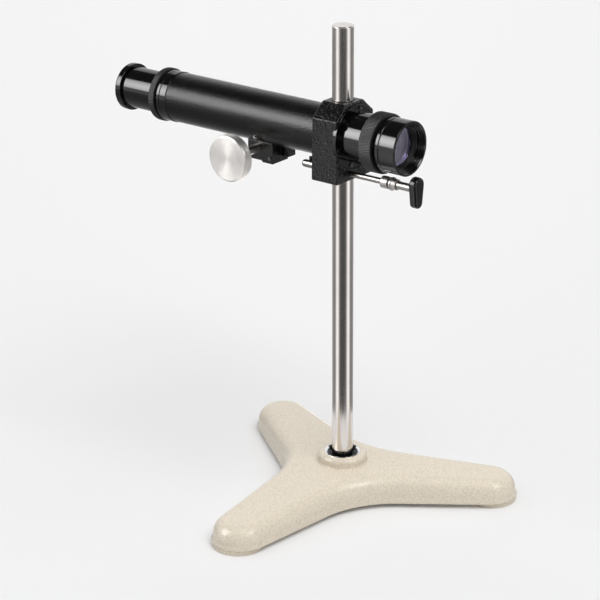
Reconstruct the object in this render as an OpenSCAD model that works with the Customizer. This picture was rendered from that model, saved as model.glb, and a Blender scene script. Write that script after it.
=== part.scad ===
// Reading telescope on a three-legged stand, in millimetres.
// The origin is on the floor under the pillar, +Z is up, and +X runs along the telescope to its objective.

/* [Stand] */
// Diameter of the pillar and of the scale rod above the clamp block
pillar_d = 16; // [13:0.5:18]
// Height of the telescope's optical axis above the floor
axis_h = 284.5; // [240:0.5:330]
// Height of the boss's flat top, where the pillar leaves the casting
boss_h = 32.6; // [31:0.2:36]
// Diameter of the boss
boss_d = 37.4; // [36:0.2:44]
// Radius of the boss's top edge
boss_edge = 3.6; // [2:0.2:4.5]
// Distance from the middle of the legs to the centre of each leg's round end
leg_reach = 116; // [108:1:125]
// Radius of each leg's round end
leg_end_r = 21.5; // [20:0.5:24]
// Distance from the middle of the legs to the hollow side between two legs
waist_r = 44; // [41:0.5:46]
// Radius of the hollow side between two legs
hollow_r = 72; // [64:1:95]
// How far the middle of the legs lies to the left of the pillar
hub_left = 4; // [0:0.5:6]
// How far the middle of the legs lies in front of the pillar
hub_front = 1; // [0:0.5:3]
// Height of the casting at the tip of a leg
leg_t = 19.5; // [18:0.5:22]
// Height of the casting's crown under the boss
crown_t = 25.5; // [24:0.5:27]
// How far the casting's rounded edge reaches inwards
edge_in = 9.5; // [7:0.5:11]
// How far the casting's rounded edge reaches down
edge_down = 12.5; // [9:0.5:12.5]
// Wall of the hollow casting
cast_wall = 6; // [5:0.5:8]
// Height of the round feet under the leg ends
foot_h = 3.5; // [2:0.1:4]
// Diameter of the screw that holds the pillar from below
foot_screw_d = 8; // [6:1:8]

/* [Clamp block] */
// Height of the block above the optical axis
block_up = 25.5; // [24.5:0.5:30]
// Depth of the block below the optical axis
block_down = 31.6; // [31:0.2:36]
// Width of the block across the tube
block_w = 44.6; // [43.6:0.2:50]
// Width of the flat on top of the block
top_flat = 20.6; // [20:0.2:24]
// Height of the sloping shoulders, front and back
shoulder_h = 10.2; // [9:0.2:12]
// Thickness of the block along the tube, at its top
block_t = 22; // [20:0.5:26]
// Draft of the casting, on each side
block_draft = 0.9; // [0.4:0.1:1.5]
// Radius of the casting's edges
block_edge = 1.2; // [0.6:0.2:1.6]
// Free length of the scale rod above the block
rod_len = 55; // [30:1:120]
// Diameter of the pillar's spigot inside the block
spigot_d = 13; // [12:0.2:14]

/* [Clamp spindle] */
// Distance from the pillar's axis to the spindle, towards the front
spindle_y = 7; // [6.8:0.1:7.4]
// Height of the spindle above the block's underside
spindle_up = 5.6; // [5.2:0.1:6]
// Diameter of the spindle's long thin part
spindle_d = 4.5; // [4:0.1:4.6]
// Throw of the eccentric that locks the pillar
throw = 0.25; // [0.1:0.05:0.3]
// Length of the spindle's thick end, on the left
stub_len = 19; // [15:0.5:30]
// Diameter of the spindle's thick end
stub_d = 5.8; // [5.4:0.1:7]
// Distance from the pillar's axis to the collar
collar_x = 40.7; // [34:0.5:48]
// Diameter of the lever's shank
shank_d = 6; // [5:0.2:7]
// Distance from the pillar's axis to the handle
handle_x = 67.5; // [61:0.5:80]
// Thickness of the handle
handle_t = 6.4; // [5:0.2:8]
// Length of the handle, from top to bottom
handle_len = 23; // [18:0.2:30]

/* [Telescope tube] */
// Outer diameter of the main tube
tube_d = 38; // [37:0.1:38.4]
// Wall of the main tube
tube_wall = 1; // [0.8:0.1:1.2]
// Distance from the pillar's axis to the main tube's left end
tube_left = 155.2; // [150:0.2:170]
// Outer diameter of the end collar
collar_d = 39; // [38.6:0.2:40]
// Length of the end collar
collar_len = 9.1; // [8:0.1:12]
// Diameter of the knurled lock ring on the draw tube
draw_ring_d = 41; // [40:0.2:44]
// Width of the knurled lock ring on the draw tube
draw_ring_w = 5.4; // [5:0.2:8]

/* [Objective] */
// Diameter of the glossy barrel right of the block
barrel_d = 37.4; // [36.8:0.1:38]
// Thickness of the barrel's flange
flange_t = 3; // [2.4:0.2:3.4]
// Diameter of the barrel's flange, in its recess
flange_d = 47.4; // [46.4:0.2:48]
// Length of bare barrel between the block and the knurled ring
barrel_len = 18.3; // [14:0.1:26]
// Wall of the wide knurled ring around the barrel
lock_ring_wall = 3.3; // [2.3:0.1:5.3]
// Width of the knurled ring on the barrel
lock_ring_w = 11; // [8:0.5:14]
// Wall of the objective cell around the barrel
cell_wall = 1.4; // [1.2:0.1:2.3]
// Length of the objective cell
cell_len = 19; // [18.6:0.2:22]
// Diameter of the objective lenses
lens_d = 30; // [29:0.2:30.4]
// Radius of curvature of the crown lens's front
crown_front_r = 112; // [95:1:150]
// Radius of curvature of the face that the crown and the flint share
crown_back_r = 92; // [85:1:120]

/* [Focusing] */
// Distance from the pillar's axis to the pinion's axis
pinion_x = 73.2; // [70:0.2:78]
// Module of the rack and pinion
gear_m = 0.8; // [0.8:0.01:0.82]
// Teeth of the pinion
pinion_z = 14; // [14:1:15]
// Face width of the rack
rack_w = 5; // [4:0.2:5.4]
// Outer diameter of the draw tube
draw_d = 31.75; // [31.4:0.05:31.9]
// Wall of the draw tube
draw_wall = 1.25; // [1:0.05:1.35]
// How far the draw tube travels out of its place in the photograph
draw_out = 36; // [30:1:36]
// How far the draw tube travels in from its place in the photograph
draw_in = 28; // [20:1:28]
// Length of draw tube that stands out of the lock ring
draw_show = 31.1; // [30:0.1:45]
// Diameter of the focus knob
knob_d = 35; // [28:0.5:38]
// Thickness of the focus knob
knob_t = 8; // [6:0.5:10]
// Distance from the tube's centre plane to the knob's outer face
knob_y = 43.7; // [40:0.2:55]
// Diameter of the pinion's shaft
shaft_d = 6.5; // [6:0.1:7]
// Width of the pinion housing along the tube
housing_w = 23.4; // [22:0.2:28]
// Depth of the pinion housing's underside below the optical axis
housing_down = 32.6; // [31:0.2:36]
// Thickness of the housing's cover plate
plate_t = 3; // [2.4:0.2:3.6]

/* [Eyepiece] */
// Diameter of the eyepiece's flange
eye_flange_d = 36.4; // [34:0.2:40]
// Thickness of the eyepiece's flange
eye_flange_t = 5.5; // [4.6:0.1:8]
// Length of the eyepiece's barrel inside the draw tube
eye_len = 26; // [22:0.5:32]

/* [Hidden] */

// Clearances: parts fixed in each other, parts that turn or slide, and loose parts
fit = 0.03;
run = 0.05;
loose = 0.3;
// Steps along a leg's round end and along a hollow side, and roundness of turned parts and of small ones
leg_steps = 10;
side_steps = 12;
fine = 120;
small = 48;
// Small overlap that joins two shapes of one piece, and the reach of a cut past a face
eps = 0.01;
past = 1;

// Colours
enamel = [0.86, 0.82, 0.72];
nickel = [0.72, 0.70, 0.67];
bright = [0.85, 0.85, 0.86];
black = [0.09, 0.09, 0.09];
gloss = [0.05, 0.05, 0.05];
hammer = [0.16, 0.16, 0.16];
alloy = [0.80, 0.79, 0.77];
brass = [0.75, 0.60, 0.32];
glass = [0.62, 0.58, 0.78, 0.45];

// Stand
leg_turns = [270, 30, 150];
pillar_r = pillar_d / 2;
foot_screw_r = foot_screw_d / 2;
pillar_foot = 12;
screw_grip = 2 * foot_screw_d;
washer_r = foot_screw_r * 2;
washer_t = 1.6;
screw_head_h = 0.65 * foot_screw_d;
ring_r = 13.8;
ring_depth = 4.4;
side_draft = 1.3;
pad_r = leg_end_r - 2.5;
pad_reach = leg_reach + leg_end_r - 0.5 - pad_r;
hub = [-hub_left, -hub_front];
tip_rho = leg_reach + leg_end_r;

// Tube and objective
tube_r = tube_d / 2;
tube_in_r = tube_r - tube_wall;
block_half = block_t / 2;
face_x = block_half + block_draft * block_up / (block_up + block_down);
flange_x = face_x + 0.15 - flange_t;
flange_r = flange_d / 2;
recess_r = flange_r + 0.2;
screw_ring_r = (flange_r + barrel_d / 2) / 2 - 0.4;
barrel_r = barrel_d / 2;
lock_x = flange_x + flange_t + barrel_len;
cell_x = lock_x + lock_ring_w + 0.1;
cell_front = cell_x + cell_len;
cell_r = barrel_r + cell_wall;
lock_ring_r = barrel_r + lock_ring_wall;
barrel_bore = barrel_r - 2;
sleeve_r = barrel_bore - 0.1;
lens_r = lens_d / 2;
seat_x = cell_x + 2.4;
barrel_end = cell_x + 4.9;
aperture_r = lens_r - 1.2;
retainer_r = lens_r + 0.85;
lens_gap = 0.1;
flint_t = 2.7;
crown_t_mid = 5;
interface_x = seat_x + 0.1 + flint_t;
crown_back_x = interface_x + lens_gap;
crown_front_x = crown_back_x + crown_t_mid;
crown_edge_x = crown_front_x - crown_front_r + sqrt(pow(crown_front_r, 2) - pow(lens_r, 2));
retainer_x = crown_front_x + 0.15;

// Pillar's spigot, groove and the spindle across it
block_base = axis_h - block_down;
spigot_r = spigot_d / 2;
spigot_len = block_down - tube_r - 1.4;
spindle_z = block_base + spindle_up;
spindle_r = spindle_d / 2;
cam_r = spindle_r - throw - 0.05;
groove_r = spindle_y - throw - cam_r - run;
groove_half = spindle_r + 0.35;
block_left = -(block_half + block_draft * (block_up + block_down - spindle_up) / (block_up + block_down));
stub_x = block_left - loose;
stub_r = stub_d / 2;

// Rack and pinion
pressure = 20;
shift_x = 0.2;
backlash = 0.1;
pitch_r = gear_m * pinion_z / 2;
base_r = pitch_r * cos(pressure);
gear_tip_r = pitch_r + gear_m * (1 + shift_x);
gear_root_r = pitch_r - gear_m * (1.25 - shift_x);
rack_pitch = PI * gear_m;
draw_r = draw_d / 2;
draw_in_r = draw_r - draw_wall;
rack_floor = draw_in_r + 1.05;
rack_line = rack_floor + gear_m * 1.25;
pinion_down = rack_line + pitch_r + shift_x * gear_m;
rack_left = pinion_x + draw_in + 9;
rack_right = pinion_x - draw_out - 6;
pinion_half = rack_w / 2 + 0.5;
shaft_r = shaft_d / 2;
tail_r = shaft_r - 0.75;
cavity_r = gear_tip_r + 0.35;
housing_left = pinion_x + 8.8;
housing_right = housing_left - housing_w;
housing_back = 9;
plate_front = 9;
plate_back = plate_front - plate_t;

// Draw tube and eyepiece
collar_x0 = tube_left + collar_len;
draw_ring_x = collar_x0 + 1.7;
draw_ring_end = draw_ring_x + draw_ring_w;
draw_end = draw_ring_end + draw_show;
guide_w = 6;
draw_start = rack_right - guide_w;
eye_flange_x = draw_end + loose;
eye_end = eye_flange_x + eye_flange_t;
eye_tip = draw_end - eye_len;
eye_r = draw_in_r - run;
eye_bore_r = eye_r - 1.8;
eye_lens_r = 8;
field_x = eye_tip + 5;
field_lens_r = eye_bore_r + 0.7;
wire_x = eye_tip - 7;

// Points on an arc of radius r about c, from angle a0 to a1, in n steps
function arc(c, r, a0, a1, n) =
    [for (i = [0:n]) let (a = a0 + (a1 - a0) * i / n) c + r * [cos(a), sin(a)]];

// The three-legged outline of the casting, moved inwards by inset: round leg ends and hollow sides with a
// straight line between them that touches both
function stand_outline(reach, inset) =
    let (
        far = hollow_r + waist_r,
        gap = [far * cos(60) - reach, far * sin(60)],
        open = atan2(gap[1], gap[0]) - acos(min(1, (leg_end_r + hollow_r) / norm(gap)))
    )
    [for (turn = leg_turns) each concat(
        arc(hub + reach * [cos(turn), sin(turn)], leg_end_r - inset, turn - open, turn + open, leg_steps),
        arc(hub + far * [cos(turn + 60), sin(turn + 60)], hollow_r + inset,
            turn + 180 + open, turn + 300 - open, side_steps))];

// Height of the casting's top at a distance rho from the pillar
function crown(rho) = crown_t - (crown_t - leg_t) * rho / tip_rho;

// One ring of the casting's skin: the outline moved in, with a height below the crown
function skin_ring(reach, inset, drop) =
    [for (p = stand_outline(reach, inset)) [p[0], p[1], crown(norm(p)) - drop]];

// One level ring of the skin
function level_ring(reach, inset, z) = [for (p = stand_outline(reach, inset)) [p[0], p[1], z]];

// One ring of the crown between the rounded edge and the boss, its points moved straight towards the pillar
function crown_ring(t) =
    [for (p = stand_outline(leg_reach, side_draft + edge_in))
        let (rho = (1 - t) * norm(p) + t * boss_d / 2) [p[0] * rho / norm(p), p[1] * rho / norm(p), crown(rho)]];

// One ring round the boss: its points turn from the outline's own angles at t = 0 to even steps at t = 1
function boss_ring(r, z, t) =
    let (outer = stand_outline(leg_reach, side_draft + edge_in), n = len(outer))
    [for (i = [0:n - 1])
        let (
            even = leg_turns[0] + (i - leg_steps / 2) * 360 / n,
            off = (atan2(outer[i][1], outer[i][0]) - even + 900) % 360 - 180,
            a = even + (1 - t) * off
        )
        [r * cos(a), r * sin(a), z]];

// One ring of the casting's turned middle, in even steps
function round_ring(r, z) = boss_ring(r, z, 1);

// A closed skin through a circle of rings with equal counts
module ring_skin(rings) {
    n = len(rings[0]);
    count = len(rings);
    polyhedron([for (ring = rings) each ring],
        [for (k = [0:count - 1], i = [0:n - 1]) let (j = (i + 1) % n, next = (k + 1) % count) each
            [[k * n + i, next * n + i, k * n + j], [k * n + j, next * n + i, next * n + j]]], convexity = 10);
}

// Puts a shape that is turned about Z onto the optical axis, with its height along X
module on_axis() {
    translate([0, 0, axis_h]) rotate([0, 90, 0]) children();
}

// A turned part on the optical axis, from points of radius and X
module turned(points) {
    on_axis() rotate_extrude($fn = fine) polygon(points);
}

// A tube or disc on the optical axis
module ring_x(outer, bore, x0, x1) {
    turned([[bore, x0], [outer, x0], [outer, x1], [bore, x1]]);
}

// A plain round bar on the optical axis
module bar_x(r, x0, x1) {
    on_axis() translate([0, 0, x0]) cylinder(r = r, h = x1 - x0, $fn = fine);
}

// A bar along X on the spindle's axis
module on_spindle() {
    translate([0, -spindle_y, spindle_z]) rotate([0, 90, 0]) children();
}

// Puts a shape on the pinion's axis, with its height towards the front
module on_pinion() {
    translate([-pinion_x, 0, axis_h - pinion_down]) rotate([90, 0, 0]) children();
}

// A ring with straight knurling between two plain lands
module knurled(outer, bore, x0, x1, teeth, depth, land) {
    low = outer - depth - 0.1;
    outline = [for (i = [0:2 * teeth - 1])
        (outer - depth * (i % 2)) * [cos(180 * i / teeth), sin(180 * i / teeth)]];
    turned([[bore, x0], [low - 0.3, x0], [low, x0 + 0.3], [low, x1 - 0.3], [low - 0.3, x1], [bore, x1]]);
    difference() {
        on_axis() translate([0, 0, x0 + land]) linear_extrude(x1 - x0 - 2 * land) polygon(outline);
        bar_x(bore + 0.5, x0, x1);
    }
}

// Cream enamelled casting with three legs, hollow underneath, with a column for the pillar
module base_casting() {
    reach_in = leg_reach - leg_end_r - 16;
    column_r = boss_d / 2;
    screw_hole_r = foot_screw_r + loose;
    column = [round_ring(screw_hole_r, 8), round_ring(column_r, 8),
        round_ring(column_r, crown(column_r) - cast_wall)];
    hollow = [skin_ring(reach_in, cast_wall + 5, cast_wall), skin_ring(reach_in, cast_wall + 2, cast_wall + 3),
        level_ring(reach_in, cast_wall + 1, foot_h)];
    side = [level_ring(leg_reach, 0.6, foot_h), level_ring(leg_reach, 0, foot_h + 0.8),
        skin_ring(leg_reach, side_draft, edge_down)];
    edge = [for (u = [18:18:90])
        skin_ring(leg_reach, side_draft + edge_in * (1 - cos(u)), edge_down * (1 - sin(u)))];
    top = [for (t = [0.25, 0.5, 0.75]) crown_ring(t)];
    climb = boss_h - boss_edge - crown(column_r);
    wall = [for (t = [0, 0.33, 0.67]) boss_ring(column_r, crown(column_r) + t * climb, t)];
    shoulder = [for (q = arc([column_r - boss_edge, boss_h - boss_edge], boss_edge, 0, 90, 4))
        round_ring(q[0], q[1])];
    seat = [round_ring(ring_r + fit, boss_h), round_ring(ring_r + fit, boss_h - ring_depth),
        round_ring(pillar_r + fit, boss_h - ring_depth), round_ring(pillar_r + fit, pillar_foot),
        round_ring(screw_hole_r, pillar_foot)];
    color(enamel) ring_skin(concat(column, hollow, side, edge, top, wall, shoulder, seat));
}

// Round feet under the legs' ends
module foot_pads() {
    color(enamel) for (turn = leg_turns) translate(hub) rotate(turn) translate([pad_reach, 0, 0])
        cylinder(r = pad_r, h = foot_h, $fn = fine);
}

// Bright dished ring that covers the joint of pillar and boss
module pillar_ring() {
    foot = boss_h - ring_depth;
    color(bright) rotate_extrude($fn = fine) polygon([[pillar_r + fit, foot], [ring_r, foot], [ring_r, boss_h],
        [ring_r - 0.9, boss_h + 0.25], [ring_r - 1.6, boss_h - 0.4], [pillar_r + fit, foot + 0.8]]);
}

// Pillar from the casting's floor to the block, with a grooved spigot on which the block turns
module pillar() {
    color(nickel) difference() {
        rotate_extrude($fn = fine) polygon([[0, pillar_foot], [pillar_r - 0.6, pillar_foot],
            [pillar_r, pillar_foot + 0.6],
            [pillar_r, block_base - loose / 3], [spigot_r, block_base - loose / 3],
            [spigot_r, spindle_z - groove_half],
            [groove_r, spindle_z - groove_half], [groove_r, spindle_z + groove_half],
            [spigot_r, spindle_z + groove_half], [spigot_r, block_base + spigot_len - 0.5],
            [spigot_r - 0.5, block_base + spigot_len], [0, block_base + spigot_len]]);
        translate([0, 0, pillar_foot - past]) cylinder(r = foot_screw_r + fit, h = screw_grip + 3 + past,
            $fn = small);
    }
}

// Washer under the casting's column
module pillar_washer() {
    color(nickel) translate([0, 0, 8 - washer_t]) difference() {
        cylinder(r = washer_r, h = washer_t, $fn = fine);
        translate([0, 0, -past]) cylinder(r = foot_screw_r + loose, h = washer_t + 2 * past, $fn = small);
    }
}

// Hexagon screw that draws the pillar down onto the casting
module pillar_screw() {
    top = 8 - washer_t;
    color(nickel) union() {
        translate([0, 0, top - screw_head_h]) cylinder(r = foot_screw_r * 1.85, h = screw_head_h, $fn = 6);
        translate([0, 0, top - eps]) cylinder(r = foot_screw_r, h = pillar_foot + screw_grip - top,
            $fn = small);
    }
}

// Black casting that holds the tube across the pillar
module clamp_block() {
    half = block_w / 2;
    color(hammer) difference() {
        translate([0, 0, axis_h]) minkowski() {
            intersection() {
                rotate([90, 0, 90]) linear_extrude(2 * block_t, center = true) offset(delta = -block_edge)
                    polygon([[-top_flat / 2, block_up], [top_flat / 2, block_up],
                        [half - 0.3, block_up - shoulder_h],
                        [half, -block_down], [-half, -block_down], [-half + 0.3, block_up - shoulder_h]]);
                rotate([90, 0, 0]) linear_extrude(2 * block_w, center = true) offset(delta = -block_edge)
                    polygon([[-block_half, block_up], [block_half, block_up],
                        [block_half + block_draft, -block_down], [-block_half - block_draft, -block_down]]);
            }
            sphere(block_edge, $fn = 16);
        }
        bar_x(tube_r + fit, -block_t, block_t);
        bar_x(recess_r, flange_x, block_t);
        translate([0, 0, block_base - past]) cylinder(r = spigot_r + run, h = spigot_len + 0.3 + past,
            $fn = fine);
        translate([0, 0, axis_h + block_up - 0.7]) cylinder(r1 = pillar_r, r2 = pillar_r + 1.2, h = 1.2,
            $fn = fine);
        translate([0, 0, axis_h]) cylinder(r = pillar_r - 3 + fit, h = block_up + past, $fn = fine);
        on_spindle() translate([0, 0, -block_t]) cylinder(r = spindle_r + run, h = 2 * block_t, $fn = small);
        for (turn = flange_turns) on_axis() rotate(turn) translate([screw_ring_r, 0, flange_x - 5])
            cylinder(r = 1 + fit, h = 6, $fn = small);
        translate([block_half - 0.3, 0.6, axis_h + tube_r - 2]) cube([2, 0.6, block_up]);
    }
}

// Upper rod that carries the scale, screwed into the top of the block
module scale_rod() {
    shoulder = axis_h + block_up;
    foot = shoulder - 0.7;
    top = shoulder + rod_len;
    color(nickel) rotate_extrude($fn = fine) polygon([[0, axis_h + tube_r + 1],
        [pillar_r - 3.5, axis_h + tube_r + 1],
        [pillar_r - 3, axis_h + tube_r + 1.5], [pillar_r - 3, foot], [pillar_r - 0.2, foot],
        [pillar_r - 0.2, shoulder + 0.5],
        [pillar_r, shoulder + 0.5], [pillar_r, top - 0.8], [pillar_r - 0.8, top], [0, top]]);
}

// Main tube through the block, with a window for the pinion
module main_tube() {
    color(black) difference() {
        ring_x(tube_r, tube_in_r, -tube_left, flange_x - 0.1);
        translate([-pinion_x - cavity_r, -pinion_half - loose, axis_h - tube_r - past])
            cube([2 * cavity_r, 2 * (pinion_half + loose), tube_wall + 3 + past]);
        stop_place() cylinder(r = 1 + fit, h = 4 * tube_wall, center = true, $fn = small);
    }
}

// Blackened ring that stops stray light in the tube
module tube_baffle() {
    x = flange_x - 3.2;
    color(black) turned([[tube_in_r - fit, x], [tube_in_r - fit, x + 1.6], [aperture_r, x + 1.6],
        [aperture_r - 1, x + 0.8],
        [aperture_r, x]]);
}

// Turned collar in the main tube's left end, the front bearing of the draw tube
module end_collar() {
    r = collar_d / 2;
    x0 = -collar_x0;
    groove = x0 + 2.9;
    neck = -draw_ring_end + 1.4;
    color(gloss) turned([[draw_r + run, neck], [neck_r, neck], [neck_r, x0], [r - 0.4, x0], [r, x0 + 0.4],
        [r, groove - 0.3], [r - 0.5, groove - 0.3], [r - 0.5, groove + 0.3], [r, groove + 0.3],
        [r, -tube_left - 0.4],
        [r - 0.4, -tube_left], [tube_in_r - fit, -tube_left], [tube_in_r - fit, -tube_left + 7],
        [draw_r + run, -tube_left + 7]]);
}

// Knurled ring on the collar's neck, which grips the draw tube
module draw_lock_ring() {
    r = draw_ring_d / 2;
    color(black) difference() {
        knurled(r, draw_r + 0.4, -draw_ring_end, -draw_ring_x, 96, 0.3, 0.5);
        bar_x(neck_r + run, -draw_ring_end + 1.2, -draw_ring_x + past);
    }
}

// Barrel with its flange in the block's recess
module barrel() {
    color(gloss) difference() {
        turned([[barrel_bore, flange_x], [flange_r, flange_x], [flange_r, flange_x + flange_t],
            [barrel_r, flange_x + flange_t], [barrel_r, barrel_end], [barrel_bore, barrel_end]]);
        for (turn = flange_turns) on_axis() rotate(turn) translate([screw_ring_r, 0, flange_x - past])
            cylinder(r = 1 + fit, h = flange_t + 2 * past, $fn = small);
    }
}

// Small screws that hold the barrel's flange
module flange_screws() {
    top = flange_x + flange_t;
    color(bright) for (turn = flange_turns) on_axis() rotate(turn) translate([screw_ring_r, 0, 0])
    difference() {
        union() {
            translate([0, 0, top - flange_t - 4]) cylinder(r = 1, h = flange_t + 4 + eps, $fn = small);
            translate([0, 0, top]) cylinder(r = 1.7, h = 0.8, $fn = small);
        }
        translate([0, 0, top + 0.7]) cube([4, 0.5, 0.8], center = true);
    }
}

// Wide knurled ring on the barrel's thread, which locks the objective cell
module barrel_lock_ring() {
    color(hammer) knurled(lock_ring_r, barrel_r + run, lock_x, lock_x + lock_ring_w, 120, 0.3, 0.6);
}

// Objective cell, screwed over the end of the barrel, with a sleeve for the lenses inside it
module objective_cell() {
    neck = cell_x + 2;
    line = cell_x + 5.2;
    thread_x = retainer_x - 0.35;
    bell_x = retainer_x + 2.6;
    step_x = (bell_x + cell_front) / 2;
    color(gloss) turned([[barrel_r + fit, cell_x], [cell_r - 1.2, cell_x], [cell_r - 1.2, neck],
        [cell_r - 0.4, neck],
        [cell_r, neck + 0.4], [cell_r, line - 0.4], [cell_r - 0.4, line - 0.2], [cell_r - 0.4, line + 0.2],
        [cell_r, line + 0.4], [cell_r, cell_front - 0.5], [cell_r - 0.5, cell_front],
        [cell_r - 1.5, cell_front],
        [cell_r - 2.3, cell_front - 1], [cell_r - 2.3, step_x + 1], [cell_r - 2.9, step_x + 1],
        [cell_r - 2.9, step_x - 0.8],
        [cell_r - 3.5, step_x - 0.8], [cell_r - 3.5, bell_x], [retainer_r + fit, bell_x],
        [retainer_r + fit, thread_x],
        [lens_r + fit, thread_x], [lens_r + fit, seat_x], [aperture_r, seat_x], [aperture_r, seat_x - 1.2],
        [sleeve_r, seat_x - 1.2], [sleeve_r, barrel_end + 0.2], [barrel_r + fit, barrel_end + 0.2]]);
}

// Depth of a curved lens face at radius r
function sag(r, curve) = curve - sqrt(pow(curve, 2) - pow(r, 2));

// Flint lens: hollow in front, flat behind
module flint_lens() {
    edge = lens_r - fit;
    front = [for (i = [0:8]) let (r = edge * i / 8) [r, interface_x + sag(r, crown_back_r)]];
    color(glass) turned(concat([[0, seat_x + 0.05]], front, [[edge, seat_x + 0.05]]));
}

// Crown lens: bulging on both sides
module crown_lens() {
    edge = lens_r - fit;
    back = [for (i = [0:8]) let (r = edge * i / 8) [r, crown_back_x + sag(r, crown_back_r)]];
    front = [for (i = [8:-1:0]) let (r = edge * i / 8) [r, crown_front_x - sag(r, crown_front_r)]];
    color(glass) turned(concat(back, front));
}

// Threaded ring that holds the lenses in the cell
module lens_retainer() {
    foot = crown_edge_x + 0.45;
    color(black) turned([[aperture_r - 0.2, retainer_x + 0.3], [aperture_r, foot], [lens_r - 0.1, foot],
        [lens_r - 0.1, retainer_x - 0.3], [retainer_r - fit, retainer_x - 0.3],
        [retainer_r - fit, retainer_x + 2.2],
        [aperture_r + 1.2, retainer_x + 2.2]]);
}

// Housing under the tube that carries the pinion's shaft
module pinion_housing() {
    color(hammer) difference() {
        union() {
            translate([-housing_left, -plate_back, axis_h - housing_down])
                cube([housing_w, plate_back + housing_back, housing_down - 14]);
            translate([-housing_right - eps, 0, axis_h - lug_down]) cube([lug_len, lug_back, lug_down - 15]);
        }
        bar_x(tube_r + fit, -housing_left - past, -housing_right + lug_len + past);
        on_pinion() translate([0, 0, -pinion_half - 0.4])
            cylinder(r = cavity_r, h = pinion_half + 0.4 + plate_back + past, $fn = fine);
        on_pinion() translate([0, 0, -housing_back + 1.5]) cylinder(r = tail_r + run, h = housing_back,
            $fn = fine);
        plate_screw_places() cylinder(r = 0.8 + fit, h = 2 * plate_back, center = true, $fn = small);
        hull() for (dz = [0, 3.6])
            translate([-housing_right + 2.6, 0, axis_h - lug_down + 3.4 + dz]) rotate([90, 0, 0])
                cylinder(r = 1.7, h = 6, center = true, $fn = 32);
    }
}

// Cover plate with the shaft's front bearing
module housing_plate() {
    color(black) difference() {
        translate([-housing_left, -plate_front, axis_h - housing_down]) rotate([90, 0, 0]) mirror([0, 0, 1])
            linear_extrude(plate_t) polygon([[0, 1.6], [12.5, 1.6], [13.8, 0], [housing_w, 0],
                [housing_w, housing_down - 14], [0, housing_down - 14]]);
        bar_x(tube_r + fit, -housing_left - past, -housing_right + past);
        on_pinion() cylinder(r = shaft_r + run, h = 2 * plate_front, $fn = fine);
        plate_screw_places() cylinder(r = 1 + fit, h = 4 * plate_front, center = true, $fn = small);
    }
}

// Screws of the cover plate
module plate_screws() {
    color(bright) plate_screw_places() difference() {
        union() {
            translate([0, 0, plate_back - 4.5]) cylinder(r = 0.8, h = plate_t + 4.5 + eps, $fn = small);
            translate([0, 0, plate_front]) cylinder(r = 1.5, h = 0.9, $fn = small);
        }
        translate([0, 0, plate_front + 0.9]) cube([4, 0.5, 0.8], center = true);
    }
}

// Screw in the tube's flank, whose tip stops the draw tube's guide ring
module stop_screw() {
    color(bright) stop_place() difference() {
        union() {
            translate([0, 0, -1.9]) cylinder(r = 1, h = 2 + eps, $fn = small);
            cylinder(r = 1.5, h = 0.9, $fn = small);
        }
        translate([0, 0, 0.9]) cube([4, 0.5, 0.8], center = true);
    }
}

// Outline of the pinion: involute flanks on radial roots, with a gap at the top
function half_tooth(r) =
    let (lean = acos(min(1, base_r / r)))
    (gear_m * (PI / 2 + 2 * shift_x * tan(pressure)) - backlash) / (2 * pitch_r) * 180 / PI
        + (tan(pressure) * 180 / PI - pressure) - (tan(lean) * 180 / PI - lean);
function polar(r, a) = r * [cos(a), sin(a)];
pinion_outline = [for (k = [0:pinion_z - 1]) let (mid = 90 + (k + 0.5) * 360 / pinion_z) each concat(
    [polar(gear_root_r, mid - half_tooth(base_r))],
    [for (i = [0:5]) let (r = base_r + (gear_tip_r - base_r) * i / 5) polar(r, mid - half_tooth(r))],
    [for (i = [5:-1:0]) let (r = base_r + (gear_tip_r - base_r) * i / 5) polar(r, mid + half_tooth(r))],
    [polar(gear_root_r, mid + half_tooth(base_r))])];

// Pinion cut on its shaft, which runs from the housing to the knob
module pinion_shaft() {
    color(nickel) on_pinion() union() {
        translate([0, 0, -pinion_half]) linear_extrude(2 * pinion_half) polygon(pinion_outline);
        translate([0, 0, pinion_half - eps]) cylinder(r = shaft_r, h = knob_y - knob_t / 2 - pinion_half,
            $fn = fine);
        translate([0, 0, -housing_back + 2]) cylinder(r = tail_r, h = housing_back - 2 - pinion_half + eps,
            $fn = fine);
    }
}

// Turned knob on the front end of the shaft
module focus_knob() {
    r = knob_d / 2;
    back = knob_y - knob_t;
    color(alloy) on_pinion() difference() {
        rotate_extrude($fn = fine) polygon([[0, back - 3], [6.5, back - 3], [6.5, back], [r - 1, back],
            [r, back + 1],
            [r, knob_y - 1.4], [r - 1.4, knob_y], [3, knob_y - 0.25], [0, knob_y - 0.25]]);
        translate([0, 0, back - 3 - past]) cylinder(r = shaft_r + fit, h = 3 + past + knob_t / 2 + fit,
            $fn = fine);
    }
}

// Draw tube, slotted underneath for the rack
module draw_tube() {
    color(gloss) difference() {
        turned([[draw_in_r, -draw_end], [draw_r - 0.3, -draw_end], [draw_r, -draw_end + 0.3],
            [draw_r, -draw_start],
            [draw_in_r, -draw_start]]);
        translate([-rack_left, -rack_w / 2, axis_h - draw_r - past])
            cube([rack_left - rack_right, rack_w, draw_r - draw_in_r + 2 * past]);
    }
}

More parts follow.
